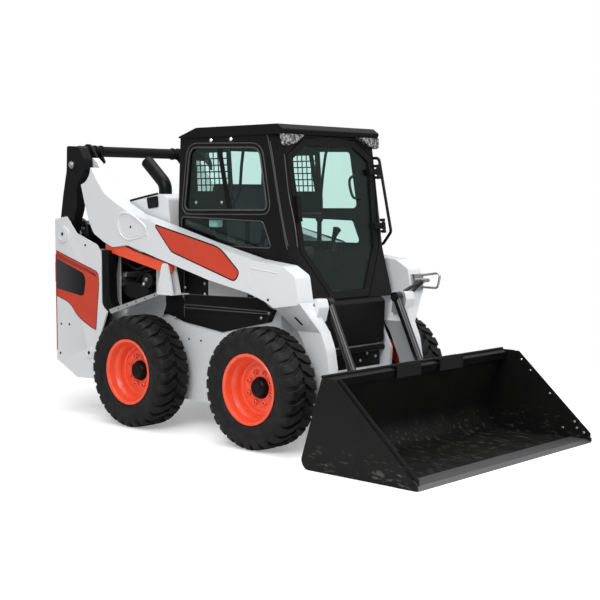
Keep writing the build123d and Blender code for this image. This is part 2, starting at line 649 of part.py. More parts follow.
def tilt_barrel():
    return cylinder_barrel(TILT_BASE, TILT_END, TILT_CYLINDER_Y, TILT_BARREL_RADIUS, TILT_ROD_RADIUS,
                           TILT_BARREL_LENGTH, TILT_PIN_RADIUS, 24)


def tilt_rod():
    return cylinder_rod(TILT_BASE, TILT_END, TILT_CYLINDER_Y, TILT_ROD_RADIUS, TILT_ROD_LENGTH, 32, 20, 20)


# Cab


def cab_line(z):
    """X of the cab's front face at a height, on its middle part."""
    if z < CAB_KNEE:
        return 668 + (CAB_KNEE - z) * (754 - 668) / (CAB_KNEE - CAB_FLOOR)
    return 668 - (z - CAB_KNEE) * (668 - 566) / (CAB_TOP - CAB_KNEE)


def cab_middle():
    """Side outline of the cab at its face's half width."""
    return [(CAB_REAR, CAB_FLOOR), (cab_line(CAB_FLOOR), CAB_FLOOR), (cab_line(CAB_KNEE), CAB_KNEE),
            (cab_line(CAB_TOP), CAB_TOP), (-358, CAB_TOP), (CAB_REAR, CAB_BEND)]


def cab_side():
    """Side outline of the cab at its full half width, with the front edge set back."""
    return [(CAB_REAR, CAB_FLOOR), (640, CAB_FLOOR), (617, CAB_KNEE + 11), (448, CAB_TOP), (-358, CAB_TOP),
            (CAB_REAR, CAB_BEND)]


def door_points():
    """Front outline of the door as (y, z)."""
    half = [(245, CAB_TOP - 21), (CAB_FACE_HALF - DOOR_GAP, CAB_TOP - 132), (385, CAB_KNEE), (184, CAB_FLOOR + 9)]
    return half + [(-y, z) for y, z in reversed(half)]


def side_window():
    return [(-257, WINDOW_TOP, 30), (374, WINDOW_TOP - 16, 30), (443, 1476, 30), (-315, 1471, 30)]


def lower_window():
    return [(-345, 1412, 20), (404, 1390, 20), (472, 1240, 20), (-345, 1240, 20)]


def front_band(outer, inner, y_low=-CAB_FACE_HALF, y_high=CAB_FACE_HALF):
    """Band that follows the cab's front face, between two depths behind it."""
    heights = (CAB_FLOOR, CAB_KNEE, CAB_TOP)
    points = [(cab_line(z) - outer, z) for z in heights] + [(cab_line(z) - inner, z) for z in reversed(heights)]
    return slab(points, y_low, y_high)


def cab_shell():
    """Hollow cab body with its openings, before the hinges are added."""
    shape = slab(cab_middle(), -CAB_FACE_HALF, CAB_FACE_HALF)
    for sign in (-1, 1):
        faces = [outline_face(cab_middle(), sign * CAB_FACE_HALF), outline_face(cab_side(), sign * CAB_HALF)]
        shape += loft(faces, ruled=True)
    ceiling = CAB_TOP - CAB_WALL
    room = [(CAB_REAR + CAB_WALL, CAB_FLOOR + PLATE), (cab_line(CAB_FLOOR) - CAB_WALL, CAB_FLOOR + PLATE),
            (cab_line(CAB_KNEE) - CAB_WALL, CAB_KNEE), (cab_line(ceiling) - CAB_WALL, ceiling), (-332, ceiling),
            (CAB_REAR + CAB_WALL, CAB_BEND)]
    shape -= slab(room, CAB_WALL - CAB_HALF, CAB_HALF - CAB_WALL)
    shape -= slab(side_window(), -CAB_HALF - 1, CAB_HALF + 1)
    shape -= slab(lower_window(), -CAB_HALF - 1, CAB_HALF + 1)
    shape -= front_outline(door_points(), 480, 800, DOOR_GAP)
    shape -= block(CAB_REAR - 1, CAB_REAR + CAB_WALL + 40, -REAR_PANE_HALF, REAR_PANE_HALF, *REAR_WINDOW)
    return shape


def divider_x(z):
    """X of the leaning bar that splits the side window, at its front edge."""
    return 94 + (1880 - z) * 34 / 414


def window_guard():
    """Right-hand plate in the rear half of the side window, with square holes, and the window's divider."""
    inner = CAB_HALF - CAB_WALL
    low, high = 1466, WINDOW_TOP + 7
    rear_edge = divider_x(high) - DIVIDER_WIDTH / 2, divider_x(low) - DIVIDER_WIDTH / 2
    plate = slab([(-262, high), (rear_edge[0], high), (rear_edge[1], low), (-320, low)], -inner - GUARD_THICK, -inner)
    holes = []
    for row in range(GUARD_ROWS):
        z = WINDOW_TOP - 28 - GUARD_PITCH * (row + 0.5)
        for column in range(GUARD_COLUMNS):
            x = divider_x(z) - DIVIDER_WIDTH - GUARD_PITCH * (column + 0.65)
            holes.append(Pos(x, -inner, z) * Box(GUARD_HOLE, 3 * GUARD_THICK, GUARD_HOLE))
    divider = slab([(divider_x(high) - DIVIDER_WIDTH, high), (divider_x(high), high), (divider_x(low), low),
                    (divider_x(low) - DIVIDER_WIDTH, low)], -inner - 2.5 * GUARD_THICK, -inner)
    return (plate - holes + divider) & slab(side_window(), -CAB_HALF, -inner)


def hinge_axis(z):
    """Point of the door's hinge line at a height: it runs beside the door's left edge, in front of it."""
    return (cab_line(z) + HINGE_STANDOFF, HINGE_Y, z)


def hinge_rod(z, radius, length, lift=0.0):
    """Short rod on the door's hinge line."""
    direction = Vector(cab_line(1900) - cab_line(1300), 0, 600).normalized()
    centre = Vector(*hinge_axis(z)) + direction * (lift - length / 2)
    return extrude(Plane(origin=centre, z_dir=direction) * Circle(radius), amount=length)


def cab_frame():
    """Cab body with the pins of its door hinges."""
    shape = cab_shell()
    for z in HINGE_HEIGHTS:
        shape += hinge_rod(z, HINGE_PIN_RADIUS, 96)
        for lift in (-38, 38):
            shape += hinge_rod(z, HINGE_RADIUS, 20, lift)
            x, y, _ = hinge_axis(z + lift)
            shape += block(x - 110, x, y - 4, y + 10, z + lift - 9, z + lift + 9)
    return shape


def door_frame():
    """Door frame with its hinge knuckles and the latch housing on its free edge."""
    shape = front_band(0, CAB_WALL) & front_outline(door_points(), 480, 800)
    shape -= front_outline(door_points(), 480, 800, -DOOR_RIM)
    shape += front_band(-LATCH_DEPTH, CAB_WALL / 2, -394, -362) & block(480, 800, -394, -362, 1400, 1560)
    for z in HINGE_HEIGHTS:
        slice_ = block(500, 800, 300, HINGE_Y, z - 20, z + 20)
        shape += front_band(-HINGE_STANDOFF, -2, 370, HINGE_Y) & slice_
        shape += front_band(-HINGE_STANDOFF, 0, 352, 384) & slice_
        shape += hinge_rod(z, HINGE_RADIUS, 50)
        shape -= hinge_rod(z, HINGE_PIN_RADIUS + RUNNING_FIT, 60)
    return shape


def door_glass():
    """Door pane, set in the frame's opening."""
    return front_band(11, 11 + GLASS) & front_outline(door_points(), 480, 800, -DOOR_RIM)


def cab_roof():
    """Roof cap with its chamfered rear and overhanging brow."""
    points = [(-366, CAB_TOP), (-358, CAB_TOP + 12), (-193, ROOF_TOP, 60), (552, ROOF_TOP, 20),
              (600, CAB_TOP + 30, 10), (588, CAB_TOP)]
    return slab(points, -ROOF_HALF, ROOF_HALF)


def headlamps():
    """Lamp under each front corner of the roof, above the door's sloping top edge."""
    points = [(-270, CAB_TOP), (-466, CAB_TOP), (-458, CAB_TOP - 58), (-436, CAB_TOP - 72), (-350, CAB_TOP - 50)]
    return pair(front_band(-LAMP_DEPTH, 0, -ROOF_HALF, -250) & front_outline(points, 480, 800))


def rear_line(z):
    """X of the cab's leaning rear face at a height above its bend."""
    return CAB_REAR + (z - CAB_BEND) * 24 / (CAB_TOP - CAB_BEND)


def cab_windows():
    """Upper and lower panes of both sides and the rear pane."""
    solids = []
    for window in (side_window(), lower_window()):
        for sign in (-1, 1):
            low, high = sorted((sign * (CAB_HALF - 10), sign * (CAB_HALF - 10 - GLASS)))
            solids.append(slab(window, low, high).solid())
    low, high = REAR_WINDOW
    rear = [(rear_line(z) + inset, z) for z, inset in ((low, 8), (high, 8), (high, 8 + GLASS), (low, 8 + GLASS))]
    solids.append(slab(rear, -REAR_PANE_HALF, REAR_PANE_HALF).solid())
    return Compound(children=solids)


def front_panel():
    """Black panel under the door."""
    rear, top = NOSE_PLATE_X + PLATE, FRAME_DECK - 2
    points = [(rear, 585), (765, 600, 20), (776, top - 28, 20), (750, top), (rear, top)]
    return slab(points, -325, 325)


def seat():
    """Seat with its base, cushion and back rest as one solid."""
    points = [(-230, CAB_FLOOR + PLATE), (160, CAB_FLOOR + PLATE), (170, 1120, 20), (225, 1150, 30), (225, 1215, 30),
              (-120, 1200, 60), (-200, 1640, 40), (-285, 1640, 40), (-250, 1180, 40)]
    return slab(points, -235, 235)


def control_levers():
    """Joystick pod on each side of the seat."""
    pod = block(20, 260, -400, -300, CAB_FLOOR + PLATE, 1250)
    pod += Pos(170, -350, 1320) * Cylinder(16, 140)
    pod += Pos(170, -350, 1400) * Sphere(26)
    return pair(pod)


def seat_bar():
    """Safety bar in front of the seat, on a boss on each side wall beside the back rest."""
    path = FilletPolyline((-200, -295, 1430), (250, -295, 1430), (250, 295, 1430), (-200, 295, 1430), radius=60)
    shape = sweep(Plane(origin=(-200, -295, 1430), z_dir=(1, 0, 0)) * Circle(16), path=path)
    for sign in (-1, 1):
        low, high = sorted((sign * 279, sign * (CAB_HALF - CAB_WALL)))
        shape += disc((-200, 1430), 26, low, high)
    return shape


def grab_bar():
    """Loop rail on the left front pillar."""
    y = CAB_HALF + 12
    path = FilletPolyline((500, y, 1812), (600, y, 1812), (708, y, 1320), (640, y, 1236), (590, y, 1236), radius=30)
    shape = sweep(Plane(origin=(500, y, 1812), z_dir=(1, 0, 0)) * Circle(10), path=path)
    shape += block(470, 505, CAB_HALF, y + 8, 1800, 1824)
    shape += block(560, 595, CAB_HALF, y + 8, 1226, 1250)
    return shape


# Bucket and coupler


def back_point(height, depth):
    """Point behind the bucket's back plate: height up its slope from the heel, depth to the rear."""
    norm = math.hypot(1.0, BUCKET_LEAN)
    up = (BUCKET_LEAN / norm, 1.0 / norm)
    out = (-up[1], up[0])
    return (BUCKET_HEEL + up[0] * height + out[0] * depth, up[1] * height + out[1] * depth)


def bucket_shell():
    """Bent plate that makes the bucket's back and floor, with its thick top lip."""
    length = BUCKET_TOP * math.hypot(1.0, BUCKET_LEAN)
    top = back_point(length, 0)
    inner_top = back_point(length, -BUCKET_SHELL)
    corner = (BUCKET_HEEL + BUCKET_SHELL * (math.hypot(1.0, BUCKET_LEAN) + BUCKET_LEAN), BUCKET_SHELL)
    front = BUCKET_TIP - EDGE_LENGTH
    points = [(*top, 0), (BUCKET_HEEL, 0, BUCKET_BEND), (front, 0), (front, BUCKET_SHELL),
              (*corner, BUCKET_BEND - BUCKET_SHELL), (*inner_top, 0)]
    inside = BUCKET_HALF - BUCKET_SIDE
    shape = slab(points, -inside, inside)
    lip = [back_point(length, 0), back_point(length - 70, 0), back_point(length - 55, -40),
           back_point(length, -48)]
    return shape + slab(lip, -inside, inside)


def bucket_sides():
    """Two side plates."""
    top = back_point(BUCKET_TOP * math.hypot(1.0, BUCKET_LEAN), 0)
    points = [(top[0], top[1]), (top[0] + 94, BUCKET_TOP, 10), (BUCKET_TIP - 6, 24, 6), (BUCKET_TIP - 6, 0),
              (BUCKET_HEEL, 0, 55)]
    return pair(slab(points, -BUCKET_HALF, BUCKET_SIDE - BUCKET_HALF))


def cutting_edge():
    """Cutting edge bolted in front of the floor, between the side plates."""
    front = BUCKET_TIP - EDGE_LENGTH
    inside = BUCKET_HALF - BUCKET_SIDE
    points = [(front, 0), (BUCKET_TIP, 0), (BUCKET_TIP, 3), (BUCKET_TIP - 30, EDGE_THICK), (front, EDGE_THICK)]
    return slab(points, -inside, inside)


def quick_coupler():
    """Coupler behind the bucket: face plate, pivot ears with their pins, cylinder lugs and locking levers."""
    face = [back_point(70, 0.3), back_point(500, 0.3), back_point(500, 22), back_point(70, 22)]
    shape = slab(face, -560, 560)
    window = [back_point(230, -1), back_point(450, -1), back_point(450, 30), back_point(230, 30)]
    x, z = BUCKET_PIVOT
    for sign in (-1, 1):
        low, high = sorted((sign * (TILT_CYLINDER_Y - 31), sign * (TILT_CYLINDER_Y + 31)))
        shape -= slab(window, low, high)
        ears = ((LEG_INNER - 14, LEG_INNER - 5), (LEG_OUTER + 5, LEG_OUTER + 19))
        for low, high in ears:
            low, high = sorted((sign * low, sign * high))
            ear = [back_point(90, 15), back_point(300, 15), (x - 10, z + 50, 30), (x - 50, z + 20, 30),
                   (x - 50, z - 25, 30), (x, z - 52, 30)]
            shape += slab(ear, low, high)
        for low, high in ((LEG_INNER - 14, LEG_INNER - 5), (TILT_CYLINDER_Y - 42, TILT_CYLINDER_Y - 33)):
            low, high = sorted((sign * low, sign * high))
            lug = [back_point(200, 15), back_point(430, 15), (TILT_END[0] + 20, TILT_END[1] + 44, 30),
                   (TILT_END[0] - 44, TILT_END[1] + 20, 30), (TILT_END[0] - 40, TILT_END[1] - 40, 30)]
            shape += slab(lug, low, high)
        low, high = sorted((sign * (LEG_INNER - 14), sign * (LEG_OUTER + 19)))
        shape += disc(BUCKET_PIVOT, BUCKET_PIN_RADIUS, low, high)
        lever = [back_point(180, 20), back_point(200, 20), back_point(420, 60), back_point(430, 90),
                 back_point(410, 96), back_point(390, 66), back_point(180, 40)]
        shape += slab(lever, *sorted((sign * 520, sign * 545)))
    return shape


def build_nodes():
    """All pieces by name, in the driving coordinates."""
    nodes = {
        "main_frame": main_frame(),
        "nose_frame": nose_frame(),
        "axle_tubes": axle_tubes(),
        "engine_block": engine_block(),
        "engine_hood": engine_hood(),
        "exhaust_stack": exhaust_stack(),
        "tail_lamps": tail_lamps(),
        "cab_frame": cab_frame(),
        "cab_roof": cab_roof(),
        "cab_windows": cab_windows(),
        "window_guards": pair(window_guard()),
        "headlamps": headlamps(),
        "front_panel": front_panel(),
        "seat": seat(),
        "seat_bar": seat_bar(),
        "control_levers": control_levers(),
        "grab_bar": grab_bar(),
        "uprights": Compound(children=[upright().solid(), left_upright().solid()]),
        "rear_fenders": pair(rear_fender()),
        "side_covers": pair(side_cover()),
        "tailgate": tailgate(),
        "door_frame": door_frame(),
        "door_glass": door_glass(),
        "control_links": pair(control_link()),
        "rear_links": rear_links(),
        "lift_arm_right": lift_arm(),
        "lift_arm_left": left_of(lift_arm()),
        "arm_legs": arm_legs(),
        "aux_couplers": aux_couplers(),
        "lift_barrels": pair(lift_barrel()),
        "lift_rods": pair(lift_rod()),
        "tilt_barrels": pair(tilt_barrel()),
        "tilt_rods": pair(tilt_rod()),
        "bucket_shell": bucket_shell(),
        "bucket_sides": bucket_sides(),
        "cutting_edge": cutting_edge(),
        "quick_coupler": quick_coupler(),
    }
    for end_name, end in (("front", 1), ("rear", -1)):
        for side_name, side in (("right", -1), ("left", 1)):
            nodes[f"tyre_{end_name}_{side_name}"] = hub_place(end, side) * tyre()
            nodes[f"rim_{end_name}_{side_name}"] = hub_place(end, side) * rim(side)
    return nodes


def main():
    os.makedirs("parts", exist_ok=True)
    for name, shape in build_nodes().items():
        export_step(Pos(-ORIGIN_X, 0, 0) * shape, f"parts/{name}.step")


if __name__ == "__main__":
    main()
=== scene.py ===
import json
import math

import bmesh
import bpy
import numpy as np
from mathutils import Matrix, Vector

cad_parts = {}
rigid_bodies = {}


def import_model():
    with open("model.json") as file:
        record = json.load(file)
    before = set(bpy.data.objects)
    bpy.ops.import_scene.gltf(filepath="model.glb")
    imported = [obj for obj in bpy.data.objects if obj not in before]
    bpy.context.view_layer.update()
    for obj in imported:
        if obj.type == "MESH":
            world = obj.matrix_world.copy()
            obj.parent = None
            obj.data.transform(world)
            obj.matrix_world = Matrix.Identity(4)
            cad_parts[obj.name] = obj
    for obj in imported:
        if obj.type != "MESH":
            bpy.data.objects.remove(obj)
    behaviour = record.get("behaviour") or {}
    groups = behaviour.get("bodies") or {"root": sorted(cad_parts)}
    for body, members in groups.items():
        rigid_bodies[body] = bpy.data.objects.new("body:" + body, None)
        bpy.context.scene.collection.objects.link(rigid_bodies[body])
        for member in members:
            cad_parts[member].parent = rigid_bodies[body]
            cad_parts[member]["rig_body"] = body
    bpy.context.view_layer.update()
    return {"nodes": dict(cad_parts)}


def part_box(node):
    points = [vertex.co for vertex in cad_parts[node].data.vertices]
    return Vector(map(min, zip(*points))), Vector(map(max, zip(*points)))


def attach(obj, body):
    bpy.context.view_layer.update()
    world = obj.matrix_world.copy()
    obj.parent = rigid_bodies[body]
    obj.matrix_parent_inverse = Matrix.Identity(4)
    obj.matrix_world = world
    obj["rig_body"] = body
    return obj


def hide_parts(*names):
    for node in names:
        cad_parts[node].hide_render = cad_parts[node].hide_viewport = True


# Looks of the skid steer loader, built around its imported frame. Shapes are worked out in millimetres, with
# +X forward, +Y to the machine's left, +Z up, X = 0 midway between the axles and Z = 0 on the ground. A shape
# is a pair of arrays or lists: its points and its faces.

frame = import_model()

MM = 0.001
AXLES_LOW, AXLES_HIGH = (np.array(corner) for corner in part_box("axle_tubes"))
ORIGIN = np.array([(AXLES_LOW[0] + AXLES_HIGH[0]) / 2, 0.0, 0.0])
SHARP_ANGLE = math.radians(32)
BEVEL_ANGLE = math.radians(35)
FLAT_ANGLE = math.radians(0.6)
MERGE_DISTANCE = 1e-5


# Shapes


def join(*shapes):
    """One shape from several: points are stacked, and face numbers moved up by the points before them."""
    points, faces, count = [], [], 0
    for shape_points, shape_faces in shapes:
        points.append(shape_points)
        faces += [[corner + count for corner in face] for face in shape_faces]
        count += len(shape_points)
    return np.vstack(points), faces


def sheet_faces(rows, columns, wrap_rows=False, wrap_columns=False):
    """Quads between neighbours of a rows by columns grid, joined round where a direction wraps."""
    row = np.arange(rows if wrap_rows else rows - 1)[:, None]
    column = np.arange(columns if wrap_columns else columns - 1)[None, :]
    below = (row + 1) % rows
    beside = (column + 1) % columns
    quads = [row * columns + column, row * columns + beside, below * columns + beside, below * columns + column]
    return np.stack(np.broadcast_arrays(*quads), -1).reshape(-1, 4).tolist()


def sheet(grid, wrap_rows=False, wrap_columns=False, caps=True):
    """Surface over a (rows, columns, 3) grid. Where only the columns wrap, its end rows are closed by caps."""
    rows, columns = grid.shape[:2]
    faces = sheet_faces(rows, columns, wrap_rows, wrap_columns)
    if caps and wrap_columns and not wrap_rows:
        faces.append(list(range(columns))[::-1])
        faces.append(list(range((rows - 1) * columns, rows * columns)))
    return grid.reshape(-1, 3), faces


def smooth_path(points, per_span=8):
    """Curve through points: each span is the cubic whose end slopes are half the chord of the neighbours."""
    p = np.asarray(points, float)
    p = np.vstack([2 * p[0] - p[1], p, 2 * p[-1] - p[-2]])
    t = (np.arange(per_span) / per_span)[:, None, None]
    a, b, c, d = p[:-3], p[1:-2], p[2:-1], p[3:]
    spans = 0.5 * (2 * b + (c - a) * t + (2 * a - 5 * b + 4 * c - d) * t ** 2
                   + (3 * b - a - 3 * c + d) * t ** 3)
    return np.vstack([spans.transpose(1, 0, 2).reshape(-1, p.shape[1]), p[-2]])


def outline(points, steps=5):
    """Closed flat outline: a corner (a, b, cut) is the quadratic curve from cut before it to cut after it."""
    corners = np.array([p[:2] for p in points], float)
    cuts = np.array([p[2] if len(p) > 2 else 0.0 for p in points])[:, None]
    before = np.roll(corners, 1, 0) - corners
    after = np.roll(corners, -1, 0) - corners
    first = corners + before / np.linalg.norm(before, axis=1, keepdims=True) * cuts
    last = corners + after / np.linalg.norm(after, axis=1, keepdims=True) * cuts
    t = np.linspace(0, 1, steps)[None, :, None]
    curve = (1 - t) ** 2 * first[:, None] + 2 * t * (1 - t) * corners[:, None] + t ** 2 * last[:, None]
    curve = curve.reshape(-1, 2)
    far = np.linalg.norm(curve - np.roll(curve, 1, 0), axis=1) > 0.01
    return curve[far]


def arc_points(centre, radius, start=0.0, end=360.0, count=32):
    """Points of an arc about centre: radius times cosine and sine of evenly spaced angles in degrees."""
    angle = np.radians(np.linspace(start, end, count, endpoint=abs(end - start) < 359.9))
    return np.asarray(centre, float) + radius * np.stack([np.cos(angle), np.sin(angle)], -1)


def prism(flat, low, high, axis=1):
    """Flat outline carried along one axis from low to high, with both ends closed."""
    flat = np.asarray(flat, float)
    ends = [np.insert(flat, axis, level, axis=1) for level in (low, high)]
    return sheet(np.stack(ends), wrap_columns=True)


def box(low, high):
    """Box between two corners."""
    flat = [(low[0], low[2]), (high[0], low[2]), (high[0], high[2]), (low[0], high[2])]
    return prism(flat, low[1], high[1])


def disc(centre, radius, low, high, axis=1, count=40):
    """Round bar along one axis."""
    return prism(arc_points(centre, radius, count=count), low, high, axis)


def directions(line, up):
    """Unit side and height directions at each point of a line: across its tangent, and across both."""
    tangent = np.gradient(line, axis=0)
    tangent /= np.linalg.norm(tangent, axis=1, keepdims=True)
    side = np.cross(tangent, np.asarray(up, float))
    side /= np.linalg.norm(side, axis=1, keepdims=True)
    return side, np.cross(side, tangent)


def carried(line, profile, up=(0, 0, 1), scale=None):
    """Closed (side, height) profile carried along a line: point + side * profile a + height * profile b."""
    line = np.asarray(line, float)
    side, height = directions(line, up)
    scale = np.ones(len(line)) if scale is None else np.asarray(scale, float)
    profile = np.asarray(profile, float)
    grid = (line[:, None] + side[:, None] * profile[None, :, :1] * scale[:, None, None]
            + height[:, None] * profile[None, :, 1:] * scale[:, None, None])
    return sheet(grid, wrap_columns=True)


def tube(points, radius, up=(0, 0, 1), per_span=8, count=14, scale=None):
    """Round tube along the smooth curve through points."""
    return carried(smooth_path(points, per_span), arc_points((0, 0), radius, count=count), up, scale)


def lathe(profile, centre=(0, 0, 0), axis=1, count=72, closed=True):
    """Profile of (radius, height) turned about an axis: radius times cosine and sine in the other two."""
    profile = np.asarray(profile, float)
    angle = np.arange(count) * 2 * math.pi / count
    turned = profile[:, None, :1] * np.stack([np.cos(angle), np.sin(angle)], -1)[None]
    height = np.broadcast_to(profile[:, None, 1:], (*turned.shape[:2], 1))
    grid = np.insert(turned, axis, height[..., 0], axis=2) + np.asarray(centre, float)
    return sheet(grid, wrap_rows=closed, wrap_columns=True)


def copies(shape, offsets):
    """The shape repeated at each offset."""
    points, faces = shape
    offsets = np.asarray(offsets, float)
    moved = (offsets[:, None] + points[None]).reshape(-1, 3)
    every = [[corner + k * len(points) for corner in face] for k in range(len(offsets)) for face in faces]
    return moved, every


def bolts(centres, radius=9.0, axis=1, out=-1):
    """Hexagon heads on washers, standing out of a wall along an axis at each centre."""
    head = lathe([(0, 0.35), (1.35, 0.35), (1.35, 0), (0, 0)], count=16, axis=axis, closed=False)
    hexagon = lathe([(0, 1.0), (0.75, 1.0), (0.95, 0.85), (0.95, 0.2), (0, 0.2)], count=6, axis=axis,
                    closed=False)
    points, faces = join(head, hexagon)
    points = points * radius
    points[:, axis] *= out
    return copies((points, faces), centres)


def placed(shape, centre, along, normal):
    """The shape moved to a centre: its X turned along one direction and its -Y along a normal."""
    points, faces = shape
    along = np.asarray(along, float) / np.linalg.norm(along)
    inward = -np.asarray(normal, float) / np.linalg.norm(normal)
    return points @ np.array([along, inward, np.cross(along, inward)]) + np.asarray(centre, float), faces


def mirrored(shape):
    """The shape on the machine's other side."""
    points, faces = shape
    return points * np.array([1, -1, 1]), faces


def both_sides(*shapes):
    """The shapes and their mirror images."""
    one = join(*shapes)
    return join(one, mirrored(one))


# Pieces


def finish_mesh(mesh):
    """Turns the faces outwards, shades them smooth and marks the sharp edges."""
    work = bmesh.new()
    work.from_mesh(mesh)
    bmesh.ops.recalc_face_normals(work, faces=work.faces)
    work.to_mesh(mesh)
    work.free()
    mesh.shade_smooth()
    mesh.set_sharp_from_angle(angle=SHARP_ANGLE)


def round_edges(obj, width):
    """Rounds every sharp edge of a piece, in millimetres."""
    bevel = obj.modifiers.new("rounded edges", "BEVEL")
    bevel.width = width * MM
    bevel.segments = 2
    bevel.limit_method = "ANGLE"
    bevel.angle_limit = BEVEL_ANGLE
    bevel.harden_normals = True


def mount(obj, body, replaces):
    """Puts a piece on its body, and hides the nodes that it stands for."""
    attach(obj, body)
    if replaces:
        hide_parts(*replaces)
    return obj


def piece(name, shape, finish, body, bevel=0.0, replaces=()):
    """New piece from a shape in millimetres."""
    points, faces = shape
    mesh = bpy.data.meshes.new(name)
    mesh.from_pydata((points * MM + ORIGIN).tolist(), [], faces)
    mesh.update()
    finish_mesh(mesh)
    obj = bpy.data.objects.new(name, mesh)
    bpy.context.scene.collection.objects.link(obj)
    mesh.materials.append(finish)
    if bevel:
        round_edges(obj, bevel)
    return mount(obj, body, replaces)


def dress(node, finish, bevel=3.0):
    """Stands for a CAD node with its own form: merged, its flat faces joined and its edges rounded."""
    source = frame["nodes"][node]
    mesh = source.data.copy()
    mesh.name = f"{node}_dressed"
    work = bmesh.new()
    work.from_mesh(mesh)
    bmesh.ops.remove_doubles(work, verts=work.verts, dist=MERGE_DISTANCE)
    bmesh.ops.dissolve_limit(work, angle_limit=FLAT_ANGLE, verts=work.verts, edges=work.edges)
    work.to_mesh(mesh)
    work.free()
    mesh.shade_smooth()
    mesh.set_sharp_from_angle(angle=SHARP_ANGLE)
    mesh.materials.clear()
    mesh.materials.append(finish)
    obj = bpy.data.objects.new(mesh.name, mesh)
    bpy.context.scene.collection.objects.link(obj)
    if bevel:
        round_edges(obj, bevel)
    return mount(obj, source["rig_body"], [node])


def coat(node, finish):
    """Keeps a CAD node as it is and gives it a finish."""
    obj = frame["nodes"][node]
    obj.data.materials.clear()
    obj.data.materials.append(finish)


# Finishes


class Value:
    """A socket whose number can be used in an expression; each operator adds its Math node."""

    def __init__(self, finish, socket):
        self.finish = finish
        self.socket = socket

    def maths(self, operation, *others):
        """This number and the others through one Math node."""
        return self.finish.add("ShaderNodeMath", {"operation": operation}, dict(enumerate((self, *others))))

    def __add__(self, other):
        return self.maths("ADD", other)

    def __mul__(self, other):
        return self.maths("MULTIPLY", other)

    def __pow__(self, other):
        return self.maths("POWER", other)

    def __rsub__(self, other):
        return (self * -1.0) + other

    def above(self, level, soft=0.02):
        """0 below level - soft and 1 above level + soft."""
        return self.finish.add("ShaderNodeMapRange", {"interpolation_type": "SMOOTHSTEP"},
                               {"Value": self, "From Min": level - soft, "From Max": level + soft})


class Finish:
    """A material, or the world, whose nodes come from one method."""

    def __init__(self, owner):
        self.owner = owner
        owner.use_nodes = True
        self.tree = owner.node_tree
        self.tree.nodes.clear()
        self.coordinates = None

    def add(self, kind, settings=None, inputs=None, out=0):
        """Adds a node: its settings first, then the values or links of its sockets. Gives one output."""
        node = self.tree.nodes.new(kind)
        for name, value in (settings or {}).items():
            if name == "stops":
                ramp = node.color_ramp
                while len(ramp.elements) < len(value):
                    ramp.elements.new(0.5)
                for element, (place, colour) in zip(ramp.elements, value):
                    element.position = place
                    element.color = (*colour, 1)
            else:
                setattr(node, name, value)
        for key, value in (inputs or {}).items():
            socket = node.inputs[key]
            if isinstance(value, Value):
                self.tree.links.new(value.socket, socket)
            elif socket.type == "RGBA":
                socket.default_value = (*value[:3], 1)
            else:
                socket.default_value = value
        return Value(self, node.outputs[out])

    def place(self):
        """Object coordinates, in metres."""
        if self.coordinates is None:
            self.coordinates = self.add("ShaderNodeTexCoord", out="Object")
        return self.coordinates

    def axis(self, name):
        """One of the object coordinates, X, Y or Z."""
        return self.add("ShaderNodeSeparateXYZ", None, {0: self.place()}, out=name)

    def noise(self, scale, detail=3.0, rough=0.5, stretch=(1, 1, 1)):
        """Noise around 0.5, about scale patches to the metre, finer along an axis whose stretch is larger."""
        where = self.place()
        if stretch != (1, 1, 1):
            where = self.add("ShaderNodeMapping", None, {"Vector": where, "Scale": stretch})
        return self.add("ShaderNodeTexNoise", None,
                        {"Vector": where, "Scale": scale, "Detail": detail, "Roughness": rough})

    def cells(self, scale):
        """Distance to the nearest of scattered points, about scale of them to the metre."""
        return self.add("ShaderNodeTexVoronoi", None, {"Vector": self.place(), "Scale": scale})

    def blend(self, factor, first, second):
        """Colour between first and second."""
        return self.add("ShaderNodeMix", {"data_type": "RGBA"}, {0: factor, 6: first, 7: second}, out=2)

    def bump(self, height, strength, distance):
        """Normal tilted by a height, of at most distance in metres."""
        return self.add("ShaderNodeBump", None, {"Height": height, "Strength": strength, "Distance": distance})

    def surface(self, **sockets):
        """Principled surface with its constants on its own sockets, linked to the output."""
        inputs = {name.replace("_", " "): value for name, value in sockets.items()}
        shader = self.add("ShaderNodeBsdfPrincipled", None, inputs)
        return self.output(shader)

    def output(self, shader, kind="ShaderNodeOutputMaterial"):
        """Links a shader to the output and gives the material or world."""
        node = self.tree.nodes.new(kind)
        self.tree.links.new(shader.socket, node.inputs["Surface"])
        return self.owner


def material(name):
    """New material, ready for its nodes."""
    return Finish(bpy.data.materials.new(name))


def tint(colour, factor):
    """Colour times a factor."""
    return tuple(min(1.0, part * factor) for part in colour)


def sprayed_paint(name, colour, rough=0.3, coat=0.4, dust=(0.55, 0.52, 0.48), dusty=0.05, black_within=0.0):
    """Sprayed enamel: faint shade changes, orange peel, and a little dust low down.

    Nearer to the machine's middle than black_within metres it is black.
    """
    f = material(name)
    shade = f.noise(2.2, 4)
    base = f.blend(shade, tint(colour, 0.95), tint(colour, 1.03))
    low = 1 - f.axis("Z").above(0.45, 0.4)
    grime = f.noise(9, 5, 0.6).above(0.52, 0.2) * (low * 0.7 + 0.3) * dusty
    base = f.blend(grime, base, dust)
    if black_within:
        away = f.axis("Y").maths("ABSOLUTE").above(black_within, 0.001)
        base = f.blend(away, (0.009, 0.0085, 0.0095), base)
    peel = f.noise(260, 2)
    roughness = f.noise(14, 3) * 0.1 + (rough - 0.05) + grime * 0.5
    return f.surface(Base_Color=base, Roughness=roughness, Coat_Weight=coat, Coat_Roughness=0.08,
                     Normal=f.bump(peel, 0.12, 0.0004))


